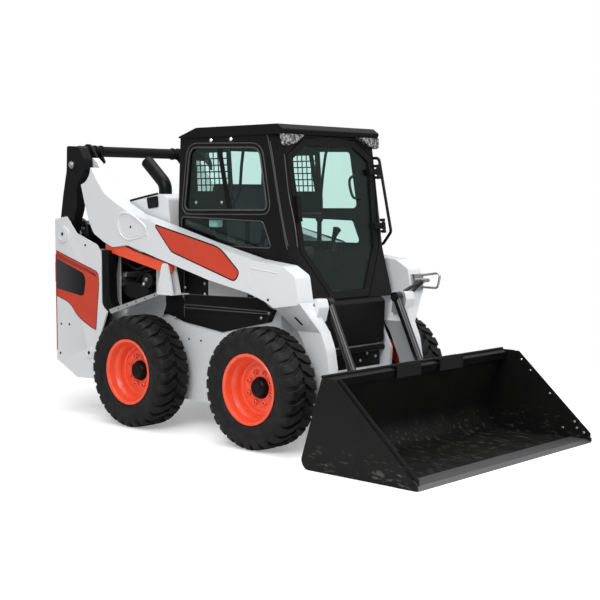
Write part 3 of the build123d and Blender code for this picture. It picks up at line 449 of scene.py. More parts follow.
def powder_coat(name, colour, rough=0.42, grain=420, depth=0.0003, lighter=1.5, shine=0.12):
    """Powder coat: fine grain and slow changes of shade."""
    f = material(name)
    shade = f.noise(3.0, 4)
    base = f.blend(shade, tint(colour, 0.85), tint(colour, lighter))
    texture = f.noise(grain, 3, 0.6)
    roughness = f.noise(11, 3) * 0.14 + (rough - 0.07)
    return f.surface(Base_Color=base, Roughness=roughness, Normal=f.bump(texture, 0.08, depth),
                     Specular_IOR_Level=shine)


def worn_black(name, colour, warm):
    """Bucket paint: black with a warm cast, streaked and slightly scuffed low down."""
    f = material(name)
    streak = f.noise(7, 5, 0.6, (1, 1, 0.2))
    base = f.blend(streak, colour, warm)
    scuff = f.noise(40, 5, 0.65, (0.3, 1, 1)).above(0.62, 0.06) * (1 - f.axis("Z").above(0.12, 0.1))
    base = f.blend(scuff * 0.5, base, (0.16, 0.155, 0.15))
    roughness = streak * 0.2 + 0.34
    return f.surface(Base_Color=base, Roughness=roughness, Metallic=scuff * 0.5, Specular_IOR_Level=0.13,
                     Normal=f.bump(f.noise(180, 3), 0.2, 0.0004))


def rubber(name, colour=(0.0065, 0.006, 0.006)):
    """Tyre rubber: matt, with dust caught in the grain."""
    f = material(name)
    dust = f.noise(16, 5, 0.65).above(0.56, 0.14)
    base = f.blend(dust * 0.22, colour, (0.045, 0.043, 0.041))
    grain = f.noise(140, 4, 0.6)
    return f.surface(Base_Color=base, Roughness=f.noise(20, 3) * 0.2 + 0.5, Specular_IOR_Level=0.2,
                     Normal=f.bump(grain, 0.3, 0.0006))


def bare_steel(name, colour, rough=0.35, brushed=(1, 1, 14)):
    """Steel with fine brush marks."""
    f = material(name)
    marks = f.noise(60, 4, 0.6, brushed)
    base = f.blend(marks, tint(colour, 0.8), tint(colour, 1.15))
    return f.surface(Base_Color=base, Metallic=0.95, Roughness=marks * 0.2 + (rough - 0.1),
                     Normal=f.bump(marks, 0.1, 0.0003))


def moulded_plastic(name, colour, rough=0.5):
    """Moulded plastic with a leather grain."""
    f = material(name)
    grain = f.cells(420)
    base = f.blend(f.noise(5, 3), tint(colour, 0.9), tint(colour, 1.2))
    return f.surface(Base_Color=base, Roughness=f.noise(20, 2) * 0.1 + (rough - 0.05),
                     Specular_IOR_Level=0.3, Normal=f.bump(grain, 0.08, 0.0003))


def cast_iron(name, colour):
    """Cast iron: rough skin and oily patches."""
    f = material(name)
    patches = f.noise(12, 5, 0.6)
    base = f.blend(patches, tint(colour, 0.5), tint(colour, 1.4))
    return f.surface(Base_Color=base, Metallic=0.3, Roughness=patches * 0.3 + 0.45,
                     Normal=f.bump(f.noise(90, 4), 0.4, 0.001))


def tinted_glass(name, tint_through=(0.865, 0.96, 0.935), mirror=0.03):
    """Tinted pane: each face tints what shows through it and mirrors a small share."""
    f = material(name)
    through = f.add("ShaderNodeBsdfTransparent", None, {"Color": tint_through})
    face = f.add("ShaderNodeBsdfPrincipled", None,
                 {"Base Color": (0.75, 0.9, 0.86), "Metallic": 1.0, "Roughness": 0.03})
    return f.output(f.add("ShaderNodeMixShader", None, {0: mirror, 1: through, 2: face}))


def fading_film(name, first, second):
    """Printed film that fades from one shade to another along the machine."""
    f = material(name)
    fade = f.add("ShaderNodeMapRange", None, {"Value": f.axis("X"), "From Min": -1.72, "From Max": -1.38})
    return f.surface(Base_Color=f.blend(fade, first, second), Roughness=0.4, Specular_IOR_Level=0.15)


def lens(name, colour, dark, facet=70):
    """Lamp lens with painted reflections: small cells shade from a bright middle to a dark rim, as a faceted
    mirror's reflections look.
    """
    f = material(name)
    cells = f.cells(facet)
    # Painted reflection: each cell's bright middle stands for a glint off the faceted reflector, and its rim for
    # the dark between glints.
    base = f.blend(cells * 1.5, colour, dark)
    return f.surface(Base_Color=base, Roughness=0.1, Coat_Weight=0.8, Coat_Roughness=0.03,
                     Normal=f.bump(cells, 0.3, 0.001))


WHITE = sprayed_paint("white enamel", (0.72, 0.735, 0.75))
LEGS = sprayed_paint("white enamel on the legs", (0.72, 0.735, 0.75), black_within=0.384)
TOWERS = sprayed_paint("white enamel on the towers", (0.72, 0.735, 0.75), black_within=0.5)
ORANGE = sprayed_paint("orange red enamel", (0.86, 0.078, 0.024), 0.32, 0.25)
DECAL = sprayed_paint("orange red film", (0.58, 0.042, 0.013), 0.4, 0.05)
SHADE = sprayed_paint("shaded orange red film", (0.33, 0.022, 0.012), 0.4, 0.05)
# Dark film: the real dark border of the decals, and also painted shade for holes, slots and pockets, which are
# drawn as dark sheets instead of being cut.
DARK_FILM_AND_PAINTED_SHADE = powder_coat("dark film", (0.008, 0.007, 0.008), 0.5)
BLACK = powder_coat("black powder coat", (0.0058, 0.0052, 0.0058))
SATIN = powder_coat("satin black", (0.0042, 0.0042, 0.0044), 0.34)
GLOSS = powder_coat("gloss black", (0.0042, 0.0042, 0.0044), 0.17, shine=0.6)
# Painted highlight: seam and edge lines are about ten times lighter than the black powder coat so that they read
# as light lines; their lower roughness and higher specular are real gloss.
HIGHLIGHT_SEAM = powder_coat("black seam with painted highlight", (0.05, 0.05, 0.052), 0.24, shine=0.5)
BUCKET = worn_black("bucket black", (0.0038, 0.0036, 0.0036), (0.010, 0.0094, 0.0088))
EDGE = bare_steel("edge steel", (0.17, 0.17, 0.175), 0.45)
CHROME = bare_steel("chromed rod", (0.80, 0.81, 0.82), 0.16, (1, 1, 1))
ALUMINIUM = bare_steel("aluminium plate", (0.72, 0.73, 0.74), 0.3)
ZINC = bare_steel("zinc plated steel", (0.50, 0.50, 0.50), 0.34, (1, 1, 1))
RUBBER = rubber("tyre rubber")
HOSE = moulded_plastic("hose rubber", (0.018, 0.018, 0.019), 0.45)
PLASTIC = moulded_plastic("black plastic", (0.020, 0.020, 0.021))
VINYL = moulded_plastic("seat vinyl", (0.026, 0.026, 0.028), 0.55)
IRON = cast_iron("engine iron", (0.06, 0.06, 0.062))
GLASS = tinted_glass("teal glass")
FADING = fading_film("fading dark film", (0.05, 0.05, 0.055), (0.003, 0.003, 0.004))
GREY_PLATE = sprayed_paint("grey plate", (0.36, 0.36, 0.37), 0.4, 0.1)
TANK = moulded_plastic("pale tank", (0.35, 0.5, 0.48), 0.4)
RED_LENS = lens("red lens", (0.6, 0.03, 0.03), (0.3, 0.01, 0.01), 160)
CLEAR_LENS = lens("clear lens", (0.5, 0.5, 0.52), (0.01, 0.01, 0.011), 55)


# Wheels

WHEEL_Y = 646.0
TYRE_RADIUS = 378.0
AXLE_X = 572.0
LUGS = 28
LUG_ROWS = [(5, 378, 23, 6.0), (26, 378, 25, 5.0), (48, 378, 27, 2.2), (72, 377.5, 28, 0.4), (98, 375, 29, 0.0),
            (114, 366, 29, 0.0), (125, 350, 28, 0.0), (129, 334, 26, 0.0)]


def carcass():
    """Tyre body turned about the axle: crown, round shoulder, bulged flank with two raised rings, and bead."""
    half = [(361, 0), (361, 50), (359, 92), (350, 112), (336, 124), (327, 127.5), (324, 130), (319, 130),
            (316, 128), (296, 129.5), (276, 128), (252, 122), (244, 121), (240, 117), (232, 112), (226, 107.5)]
    half = smooth_path(half, 3)
    inner = np.array([(206, 106), (204.5, 60)])
    one = np.vstack([half, inner])
    profile = np.vstack([one, (one * [1, -1])[::-1][:-1]])
    return lathe(profile, count=112)


def lugs():
    """All lugs: each is a ring of six points at every row of LUG_ROWS, carried from the centre to the flank.

    A row is (y, tip radius, half width, lean in degrees). The far side's lugs sit half a pitch on.
    """
    rows = np.array(LUG_ROWS)
    y, tip, half, lean = (rows[:, column, None] for column in range(4))
    across = np.array([-1.0, -0.96, -0.84, 0.84, 0.96, 1.0]) * half
    flare = np.array([4.0, 1.0, 0.0, 0.0, 1.0, 4.0]) * np.array([-1, -1, -1, 1, 1, 1])
    drop = np.array([24.0, 3.0, 0.0, 0.0, 3.0, 24.0])
    radius = tip - drop
    angle = np.radians(lean) + (across + flare) / TYRE_RADIUS
    turn = np.arange(LUGS) * 2 * math.pi / LUGS
    shapes = []
    for side in (-1, 1):
        every = angle[None] + turn[:, None, None] + (math.pi / LUGS if side > 0 else 0)
        grid = np.stack([radius * np.cos(every), np.broadcast_to(side * y, every.shape),
                         radius * np.sin(every)], -1)
        shapes += [sheet(one, wrap_columns=True) for one in grid]
    return join(*shapes)


def rim_shape(side):
    """Deep-dished rim turned about the axle: rolled flange, sloped barrel, well, and a disc set far in."""
    outer = [(213, 114), (219, 115), (222.4, 112), (222.4, 108), (216, 106.5), (206, 106), (203, 96), (202, 60),
             (183, 48), (183, -48), (202, -60), (203, -106), (222, -108), (222, -113), (214, -114)]
    inner = [(196, -110), (194, -62), (176, -50), (176, -16), (62, -16), (62, -4), (110, -4), (118, -1),
             (142, -1), (156, -3), (164, 1), (169, 10), (171, 26), (176, 42), (190, 58), (195, 66), (197, 100),
             (203, 110)]
    profile = np.array(outer + inner) * [1, side]
    return lathe(profile, count=96)


def hub_cap(side):
    """Black domed hub cap with a raised ring and a small centre plug."""
    profile = np.array([(0, 40), (10, 40), (13, 37), (26, 36), (30, 38), (40, 37), (50, 33), (58, 26),
                        (63, 12), (66, 8), (69, 2), (69, -5), (0, -5)])
    return lathe(profile * [1, side], count=48, closed=False)


def wheel_nuts(side):
    """Eight nuts on a circle about the hub, each turned about its own stud."""
    angle = np.radians(np.arange(8) * 45 + 22.5)
    centres = np.stack([101 * np.cos(angle), np.full(8, -4.0 * side), 101 * np.sin(angle)], -1)
    profile = np.array([(7, 19), (12, 19), (15, 16), (15, 4), (19, 3), (19, -2), (7, -2)])
    nut = lathe(profile * [1, side], count=6)
    stud = lathe(np.array([(0, 14), (7, 14), (7, -2), (0, -2)]) * [1, side], count=12, closed=False)
    return copies(nut, centres), copies(stud, centres)


def wheels():
    """Tyre, rim and hub cap of each wheel, at its own axle end."""
    for end_name, end in (("front", 1), ("rear", -1)):
        for side_name, side in (("right", -1), ("left", 1)):
            name = f"{end_name}_{side_name}"
            body = f"wheel_{name}"
            centre = [(end * AXLE_X, side * WHEEL_Y, TYRE_RADIUS)]
            nuts, studs = wheel_nuts(side)
            tyre = copies(join(carcass(), lugs()), centre)
            piece(f"tyre_{name}_lugged", tyre, RUBBER, body, replaces=[f"tyre_{name}"])
            rim = copies(join(rim_shape(side), nuts), centre)
            piece(f"rim_{name}_dished", rim, ORANGE, body, replaces=[f"rim_{name}"])
            piece(f"hub_cap_{name}", copies(join(hub_cap(side), studs), centre), SATIN, body)


wheels()


# Painted structure

for name in ("main_frame", "nose_frame", "rear_fenders", "engine_hood"):
    dress(name, WHITE)
for name in ("lift_arm_right", "lift_arm_left"):
    dress(name, WHITE, 10.0)
dress("arm_legs", LEGS, 8.0)
dress("uprights", TOWERS)
for name in ("rear_links", "side_covers", "cab_roof", "front_panel"):
    dress(name, BLACK, 4.0)
for name in ("cab_frame", "door_frame"):
    dress(name, BLACK, 2.0)
dress("window_guards", BLACK, 0.8)
dress("control_links", ORANGE)
dress("tailgate", BLACK, 2.0)
for name in ("bucket_shell", "bucket_sides", "quick_coupler"):
    dress(name, BUCKET, 2.0)
dress("cutting_edge", EDGE, 1.0)
for name in ("lift_barrels", "tilt_barrels"):
    coat(name, GLOSS)
for name in ("axle_tubes", "grab_bar", "seat_bar", "control_levers"):
    coat(name, SATIN)
for name in ("lift_rods", "tilt_rods"):
    coat(name, CHROME)
coat("cab_windows", GLASS)
coat("door_glass", GLASS)
coat("engine_block", IRON)
coat("exhaust_stack", SATIN)
coat("tail_lamps", RED_LENS)
coat("headlamps", CLEAR_LENS)
coat("aux_couplers", ZINC)
coat("seat", VINYL)


# Small parts on the tower, arms and links

TOWER_Y = -640.0
FLANGE_Y = TOWER_Y - 4.0
BOSS_Y = TOWER_Y - 12.0
ARM_Y = -620.0
COVER_Y = -482.0
PANEL_Y = COVER_Y - 4.0
FRAME_Y = -470.0
CAB_Y = -455.0
GLASS_Y = -436.0
ENGINE_FRONT_Y = -425.0
ENGINE_Y = -288.0
BUCKET_Y = -910.0
STRIP_Y = BUCKET_Y + 18.0
FILM = 1.2


def grown(flat, distance):
    """Closed flat outline moved outwards by a distance along the normals of its points."""
    flat = np.asarray(flat, float)
    along = np.roll(flat, -1, 0) - np.roll(flat, 1, 0)
    normal = np.stack([along[:, 1], -along[:, 0]], -1)
    normal /= np.linalg.norm(normal, axis=1, keepdims=True)
    edge = np.roll(flat, -1, 0)
    area = np.sum(flat[:, 0] * edge[:, 1] - flat[:, 1] * edge[:, 0])
    return flat + normal * distance * np.sign(area)


def bead(flat, level, width, height):
    """Ridge along a closed flat outline on a side wall: across it the height is a half ellipse."""
    across = np.linspace(-1, 1, 7)
    rise = height * np.sqrt(1 - across ** 2)
    rows = np.stack([grown(flat, width / 2 * step) for step in across], 1)
    grid = np.insert(rows, 1, level - rise[None], axis=2)
    return sheet(grid, wrap_rows=True, caps=False)


def marks(centres, radius, level):
    """Painted shade of round holes: dark thin discs just proud of a wall, standing in for the shade inside them.
    """
    return join(*(disc(centre, radius, level - 0.4, level, 1, 20) for centre in centres))


def wall_line(points, level, radius, per_span=5):
    """Fine round ridge on a side wall, along the smooth curve through (x, z) points."""
    line = [(x, level, z) for x, z in smooth_path(points, per_span)]
    return carried(line, arc_points((0, 0), radius, count=10))


def tower_film():
    """Bare orange-red film on both towers: its border, a painted shadow band under its top edge, and its dark
    fading panel.
    """
    film = outline([(-1500, 1165), (-1022, 1027, 30), (-1012, 951, 30), (-1052, 618, 10), (-1110, 635, 30),
                    (-1254, 698, 60), (-1349, 797, 60), (-1500, 835)])
    shadow_band = outline([(-1500, 1150), (-1180, 1056, 20), (-1050, 1016, 20), (-1046, 996, 8), (-1180, 1030, 20),
                      (-1500, 1118)])
    panel = outline([(-1498, 1109), (-1181, 1011, 30), (-1163, 960, 20), (-1185, 848, 36), (-1500, 891)])
    top = TOWER_Y - FILM
    piece("tower_film", both_sides(prism(film, top, TOWER_Y)), DECAL, "chassis")
    piece("tower_film_edge", both_sides(bead(film, top, 5, 0.6)), DARK_FILM_AND_PAINTED_SHADE, "chassis")
    # Painted shadow: a darker orange band just under the film's top edge.
    piece("tower_painted_shadow_band", both_sides(prism(shadow_band, top - 0.5, top)), SHADE, "chassis")
    piece("tower_panel", both_sides(prism(panel, top - 1.0, top)), FADING, "chassis")


def tower_fittings():
    """Ringed bosses, painted shade for the small holes and the ledge's slots, the side opening's post and bright
    ledge strip, the rear edge's film.
    """
    high_boss, low_boss = (-1413, 1286), (-1122, 452)
    # Painted shade: dark discs stand for the holes in the tower and in its bosses.
    holes = [marks([high_boss, low_boss], 13, BOSS_Y),
             marks([(-1163, 1212), (-1455, 634), (-1360, 637), (-1470, 420)], 9, TOWER_Y)]
    piece("tower_hole_shade", both_sides(*holes), DARK_FILM_AND_PAINTED_SHADE, "chassis")
    rings = [bead(arc_points(high_boss, 43), BOSS_Y, 6, 3), bead(arc_points(low_boss, 28), BOSS_Y, 5, 2)]
    piece("tower_boss_rings", both_sides(*rings), WHITE, "chassis")
    post = outline([(-982, 1184, 6), (-912, 1184, 20), (-900, 830, 40), (-860, 788, 10), (-905, 764, 10),
                    (-940, 752, 30), (-984, 800, 20)])
    piece("opening_post", both_sides(prism(post, -636, -570)), SATIN, "chassis", 12)
    strip = np.array([(-888, 770.6), (-397, 912.2), (-397, 915.2), (-888, 773.6)])
    flange = outline([(-905, 772, 8), (-392, 920, 8), (-382, 898, 12), (-880, 744, 12)])
    slots = [(-800 + 95 * k, 786 + 28 * k) for k in range(5)]
    ledge = both_sides(prism(strip, TOWER_Y, -590), prism(flange, FLANGE_Y, TOWER_Y))
    piece("ledge_strip", ledge, ALUMINIUM, "chassis", 1)
    # Painted shade: dark discs stand for the ledge's slots.
    piece("ledge_slot_shade", both_sides(marks(slots, 6, FLANGE_Y)), DARK_FILM_AND_PAINTED_SHADE, "chassis")
    edge = outline([(-1513, 440), (-1513, 1120), (-1511, 1140), (-1502, 1140), (-1502, 440)])
    piece("tower_rear_film", both_sides(prism(edge, TOWER_Y - 0.8, TOWER_Y)), SHADE, "chassis")


def arm_film():
    """Arm's orange-red film and dark border, the pressed panel behind it, the knee's folds, and painted shade
    for the holes.
    """
    film = outline([(-431, 1363, 16), (186, 1228, 60), (357, 1083, 20), (323, 1027, 30), (-270, 1196, 30)])
    border = both_sides(prism(grown(film, 9), ARM_Y - 0.7, ARM_Y))
    piece("arm_film_border", border, DARK_FILM_AND_PAINTED_SHADE, "lift_arms")
    piece("arm_film", both_sides(prism(film, ARM_Y - FILM, ARM_Y)), DECAL, "lift_arms")
    pressed = outline([(-830, 1438, 60), (-818, 1308, 60), (-723, 1254, 50), (-530, 1293, 60), (-510, 1340, 50),
                       (-696, 1450, 90)], 8)
    knees = [[(452, 1116), (540, 1106), (630, 1096), (706, 1088)],
             [(440, 1104), (448, 1065), (458, 1025), (468, 988)]]
    folds = [carried([(x, ARM_Y, z) for x, z in knee], arc_points((0, 0), 4, count=12)) for knee in knees]
    ridges = join(bead(pressed, ARM_Y, 18, 8), bead(grown(pressed, -18), ARM_Y, 10, 2), *folds)
    piece("arm_pressings", both_sides(ridges), WHITE, "lift_arms")
    # Painted shade: dark sheets stand for the hole in the arm, the slot on the knee's underside and the ear's
    # hole.
    slot = np.vstack([arc_points((26, 0), 10, -90, 90, 9), arc_points((-26, 0), 10, 90, 270, 9)])
    slot = placed(prism(slot, -0.6, 0.0), (779, -522, 796), (34, 44, -58), (0, -0.797, -0.604))
    ear = placed(disc((0, 0), 9, -0.8, 0.0, 1, 20), (869, -481, 897), (0, 1, 0), (0.97, 0, 0.25))
    holes = join(marks([(-689, 1348), (613, 923)], 9, ARM_Y), slot, ear)
    piece("arm_hole_shade", both_sides(holes), DARK_FILM_AND_PAINTED_SHADE, "lift_arms")


def rear_link_fittings():
    """Pin head of the rear links, and their cross tube's collars and plate."""
    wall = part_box("rear_links")[0][1] / MM
    heads = bolts([(-1329, wall, 1780)], 20)
    piece("rear_link_bolts", both_sides(heads), ZINC, "rear_link_pair")
    collars = join(*(disc((-1345, 1880), 45, y, y + 18) for y in (-410, -356)))
    plate = outline([(-1378, 1915, 10), (-1312, 1915, 20), (-1288, 1860, 20), (-1252, 1800, 8), (-1276, 1788, 6),
                     (-1330, 1842, 20), (-1382, 1850, 14)])
    piece("rear_tube_collars", both_sides(collars, prism(plate, -386, -372)), SATIN, "rear_link_pair",
          2)


def cover_fittings():
    """Upper panel of the side covers with its rib, seams (lightened as painted highlight) and bolts, two bare
    plates, and painted shade for the frame's holes.
    """
    panel = outline([(-521, 748, 10), (-482, 806, 10), (-490, 1080, 20), (-440, 1100, 20), (300, 985, 20),
                     (420, 946, 20), (494, 845, 10), (543, 812, 8), (300, 790), (-300, 790)])
    rib = outline([(-294, 834, 8), (480, 834, 8), (486, 818, 8), (-294, 812, 8)])
    rims = [[(-297, 748), (-297, 900), (-296, 1066)], [(-290, 903), (60, 908), (400, 916)],
            [(468, 760), (490, 800), (510, 826)]]
    lines = [wall_line(rim, PANEL_Y, 3, 4) for rim in rims]
    piece("cover_upper_panel", both_sides(prism(panel, PANEL_Y, COVER_Y)), SATIN, "chassis", 1)
    # Painted highlight: the rib and seam lines take the lightened black so that their edges read as light lines.
    piece("cover_ribs", both_sides(bead(rib, PANEL_Y, 9, 4), *lines), HIGHLIGHT_SEAM, "chassis")
    plates = [outline([(-60, 1006, 6), (302, 1006, 6), (302, 915, 6), (-60, 905, 6)]),
              outline([(312, 962, 4), (400, 945, 10), (402, 932, 4), (312, 932, 4)])]
    plates = [prism(plate, PANEL_Y - 1.6, PANEL_Y) for plate in plates]
    piece("bare_plates", both_sides(*plates), GREY_PLATE, "chassis")
    heads = bolts([(x, PANEL_Y, z) for x, z in ((-287, 948), (-303, 890), (-95, 982), (-95, 914), (371, 922),
                                               (493, 824), (424, 789), (-512, 752), (-388, 738))], 7)
    piece("cover_bolts", both_sides(heads), ZINC, "chassis")
    # Painted shade: dark discs stand for two holes in the frame.
    holes = marks([(-271, 601), (-153, 598)], 8, FRAME_Y)
    piece("frame_hole_shade", both_sides(holes), DARK_FILM_AND_PAINTED_SHADE, "chassis")


def hood_fittings():
    """Black shield beside the arm's tail, vent box and edge strip of the hood, and the bracket's bolts."""
    shield = outline([(-1440, 1365, 10), (-1330, 1350, 40), (-1060, 1190, 20), (-1060, 1100), (-1440, 1100)])
    vent = outline([(-705, 1546, 12), (-590, 1560, 12), (-585, 1482, 12), (-688, 1470, 12)])
    strip = tube([(-891, -449, 1526), (-753, -449, 1550), (-600, -449, 1574)], 8)
    parts = both_sides(prism(shield, CAB_Y - 4, CAB_Y), prism(vent, CAB_Y - 8, CAB_Y), strip)
    piece("hood_black_parts", parts, SATIN, "chassis", 2)
    heads = bolts([(-1384, COVER_Y, 1382), (-1390, COVER_Y, 1322)], 12)
    piece("bracket_bolts", both_sides(heads), ZINC, "chassis")


def engine_side_fittings():
    """Hoses, valve block, belt guard and pulley in the side opening, all ending at the engine."""
    routes = [[(-1000, -284, 760), (-940, -360, 900), (-860, -390, 1000), (-760, -380, 1040), (-690, -340, 1040),
               (-665, -284, 1000)],
              [(-980, -284, 700), (-900, -380, 820), (-800, -400, 880), (-700, -390, 960), (-655, -330, 985),
               (-655, -284, 980)],
              [(-940, -284, 820), (-860, -400, 760), (-760, -420, 800), (-690, -390, 890), (-660, -284, 920)],
              [(-900, -284, 640), (-840, -410, 700), (-760, -430, 720), (-680, -390, 760), (-655, -284, 770)],
              [(-1070, -370, 995), (-1078, -400, 1080), (-1030, -432, 1112), (-930, -440, 1080),
               (-840, -430, 1050), (-740, -400, 1090), (-680, -350, 1075), (-660, -330, 1015)]]
    hoses = join(*(tube(route, 13) for route in routes))
    piece("engine_hoses", both_sides(hoses), HOSE, "chassis")
    blocks = [box((-1100, ENGINE_FRONT_Y, 925), (-985, ENGINE_Y, 1000)),
              box((-700, -372, 940), (-620, ENGINE_Y, 1020))]
    piece("valve_block", both_sides(*blocks), IRON, "chassis", 6)
    cap = box((-1052, -444, 985), (-955, ENGINE_Y, 1020))
    piece("valve_cap", both_sides(cap), ALUMINIUM, "chassis", 5)
    places = [(x, ENGINE_FRONT_Y, z) for x, z in ((-1088, 990), (-1060, 968), (-1030, 945), (-1075, 940),
                                                  (-1005, 975), (-1000, 935))]
    neck = lathe([(0, 30), (13, 30), (13, 12), (17, 10), (17, 0), (0, 0)], count=12, closed=False)
    necks = both_sides(copies(mirrored(neck), places))
    piece("valve_necks", necks, ZINC, "chassis")
    guard = outline([(-960, 954, 20), (-751, 941, 20), (-730, 887, 20), (-804, 846, 20), (-929, 833, 20),
                     (-1044, 887, 20)])
    guard = both_sides(prism(guard, ENGINE_FRONT_Y, ENGINE_Y))
    piece("belt_guard", guard, PLASTIC, "chassis", 4)
    pulley = lathe([(0, 0), (54, 0), (54, -10), (44, -14), (38, -8), (0, -8)], (-724, -436, 975), count=32,
                   closed=False)
    shaft = disc((-724, 975), 20, -440, ENGINE_Y)
    piece("pulleys", both_sides(pulley, shaft), HOSE, "chassis")
    heads = bolts([(-734, -446, 980), (-760, -446, 945)], 13)
    piece("pulley_bolts", both_sides(heads), ZINC, "chassis")


# Cab


def cab_fittings():
    """Window seams and pillar edge lines lightened as painted highlight, inner bars, bolts, the side guards'
    foot plates and the reservoir.
    """
    window = outline([(-257, 1873, 60), (374, 1857, 60), (443, 1476, 40), (-315, 1471, 40)], 7)
    lower = outline([(-345, 1412, 20), (404, 1390, 20), (472, 1240, 20), (-345, 1240, 20)])
    seams = [bead(grown(window, 6), CAB_Y, 12, 5), bead(grown(window, 34), CAB_Y, 8, 3),
             bead(grown(lower, 8), CAB_Y, 9, 3)]
    # Painted highlight: the window seam beads take the lightened black so that their edges read as light lines.
    piece("window_seams", both_sides(*seams), HIGHLIGHT_SEAM, "chassis")
    path = [(190, -430, 1884), (185, -404, 1862), (165, -400, 1751), (143, -400, 1587), (112, -438, 1508)]
    bar = tube(path, 10, up=(0, 1, 0))
    slider = prism(np.array([(-14, 1866), (20, 1866), (108, 1476), (74, 1476)]), -447, GLASS_Y)
    piece("cab_inner_bars", both_sides(bar, slider), SATIN, "chassis", 1)
    rims = [[(451, 1940), (493, 1776), (545, 1529), (591, 1339), (621, 1225)],
            [(474, 1900), (498, 1800), (552, 1540), (602, 1330), (628, 1250)]]
    lines = [wall_line(rim, CAB_Y, 3.5) for rim in rims]
    path = [(572, -429, 1818), (610, -429, 1567), (646, -418, 1396), (668, -412, 1240)]
    inner = tube(path, 4, per_span=5, count=10)
    # Painted highlight: lightened fine ridges along the front pillar stand for the light lines on its edges.
    piece("pillar_edge_highlights", both_sides(*lines, inner), HIGHLIGHT_SEAM, "chassis")
    heads = bolts([(-60, CAB_Y, 1921), (126, CAB_Y, 1922)], 10)
    piece("roof_bolts", both_sides(heads), CHROME, "chassis")
    plate = outline([(-318, 1560, 6), (60, 1560, 6), (90, 1480, 6), (-322, 1480, 6)])
    piece("guard_plate", both_sides(prism(plate, GLASS_Y, -431.2)), SATIN, "chassis", 1)
    low_heads = bolts([(-227, GLASS_Y, 1515), (18, GLASS_Y, 1516)], 8)
    piece("guard_bolts", both_sides(low_heads), ZINC, "chassis")
    tank = box((-106, -438, 1352), (-30, -380, 1408))
    piece("washer_tank", tank, TANK, "chassis", 8)


def joysticks():
    """Joystick and boot on a bracket at the front of each pod, and the bolt under each corner lamp."""
    bracket = box((255, -400, 1060), (345, -300, 1190))
    profile = [(0, 1188), (44, 1188), (38, 1205), (29, 1225), (18, 1246), (0, 1246)]
    boot = lathe(profile, (300, -350, 0), axis=2, count=24, closed=False)
    path = [(296, -350, 1236), (305, -350, 1278), (322, -350, 1314), (336, -350, 1342)]
    scale = np.interp(np.linspace(0, 1, 25), [0, 0.3, 0.75, 0.9, 1], [0.8, 0.9, 1.5, 1.9, 1.0])
    stick = tube(path, 17, up=(0, 1, 0), scale=scale)
    piece("joysticks", both_sides(bracket, boot, stick), SATIN, "chassis", 4)
    under = bolts([(587, -458, 1884)], 7)
    piece("lamp_bolts", both_sides(under), ZINC, "chassis")


def door_fittings():
    """Inner handle loop of the cab door."""
    path = [(585, 245, 1690), (560, 225, 1680), (556, 215, 1640), (580, 217, 1560), (600, 239, 1540),
            (622, 255, 1540)]
    piece("door_handle", tube(path, 9, up=(1, 0, 0)), SATIN, "cab_door")


# Boom's front and bucket


def step_plates():
    """Two serrated step plates on the bucket's top lip, with painted shade for the pockets below them."""
    spans = ((-292, -58), (138, 382))
    shapes = []
    for left, right in spans:
        shapes.append(box((1304, left, 542), (1364, right, 550)))
        teeth = np.arange(left + 6, right - 4, 12.0)
        tooth = prism(np.array([(0, 550), (8, 550), (4, 557)]), 0, 8, axis=0)
        shapes += [copies(tooth, [(x, y, 0) for y in teeth]) for x in (1306, 1330, 1354)]
        shapes.append(box((1356, left, 476), (1364, right, 544)))
    piece("bucket_steps", join(*shapes), BUCKET, "bucket", 1)
    # Painted shade: thin dark sheets stand for the pockets under the steps.
    pockets = [box((1364, left + 26, 486), (1364.6, right - 26, 526)) for left, right in spans]
    piece("step_pocket_shade", join(*pockets), DARK_FILM_AND_PAINTED_SHADE, "bucket")


def bucket_fittings():
    """Rolled top edge, the side plates' inner strips, outer wear strips, painted shade for the holes, and bolts.
    """
    edge = tube([(1311, -905, 546), (1311, 0, 546), (1311, 905, 546)], 9, per_span=2)
    strip = np.array([(1412, 540), (1988, 26), (1988, 60), (1448, 541)])
    inner = prism(strip, STRIP_Y - 6, STRIP_Y)
    wing = prism(outline([(1830, 4, 4), (1986, 4, 4), (1986, 30, 6), (1872, 26, 10)]), BUCKET_Y - 6, BUCKET_Y)
    piece("bucket_edges", join(edge, both_sides(inner, wing)), BUCKET, "bucket", 1)
    places = [(1528, 374), (1800, 69), (1890, 73), (1934, 58)]
    # Painted shade: dark discs stand for the holes in the side plates.
    piece("bucket_hole_shade", both_sides(marks(places, 8, BUCKET_Y)), DARK_FILM_AND_PAINTED_SHADE, "bucket")
    inside = [(1470, 486), (1540, 420), (1690, 283), (1873, 122), (1892, 83), (1942, 60), (1790, 73)]
    heads = bolts([(x, STRIP_Y, z) for x, z in inside], 7, out=1)
    piece("bucket_bolts", both_sides(heads), CHROME, "bucket")


def nose_fittings():
    """Black cross shaft and plate below the front panel, with their bolts."""
    shaft = disc((736, 560), 20, -350, 350, 1, 24)
    plate = prism(outline([(-345, 440, 8), (345, 440, 8), (345, 536, 8), (-345, 536, 8)]), 712, 716, 0)
    piece("nose_black_parts", join(shaft, plate), SATIN, "chassis", 1)
    places = ((209, 526), (297, 500), (141, 484), (-209, 526), (-297, 500))
    heads = bolts([(716, y, z) for y, z in places], 8, 0, 1)
    piece("nose_bolts", heads, ZINC, "chassis")


def hoses():
    """Two hoses from the left knee's couplers in and down behind the arm's leg."""
    routes = [[(940, 530, 1000), (915, 520, 990), (880, 480, 960), (850, 430, 930)],
              [(940, 562, 1000), (905, 555, 985), (870, 500, 930), (840, 430, 890)]]
    piece("coupler_hoses", join(*(tube(route, 11) for route in routes)), HOSE, "lift_arms")


for build in (tower_film, tower_fittings, arm_film, rear_link_fittings, cover_fittings, hood_fittings,
              engine_side_fittings, cab_fittings, joysticks, door_fittings, step_plates, bucket_fittings,
              nose_fittings, hoses):
    build()


# Room, light and camera

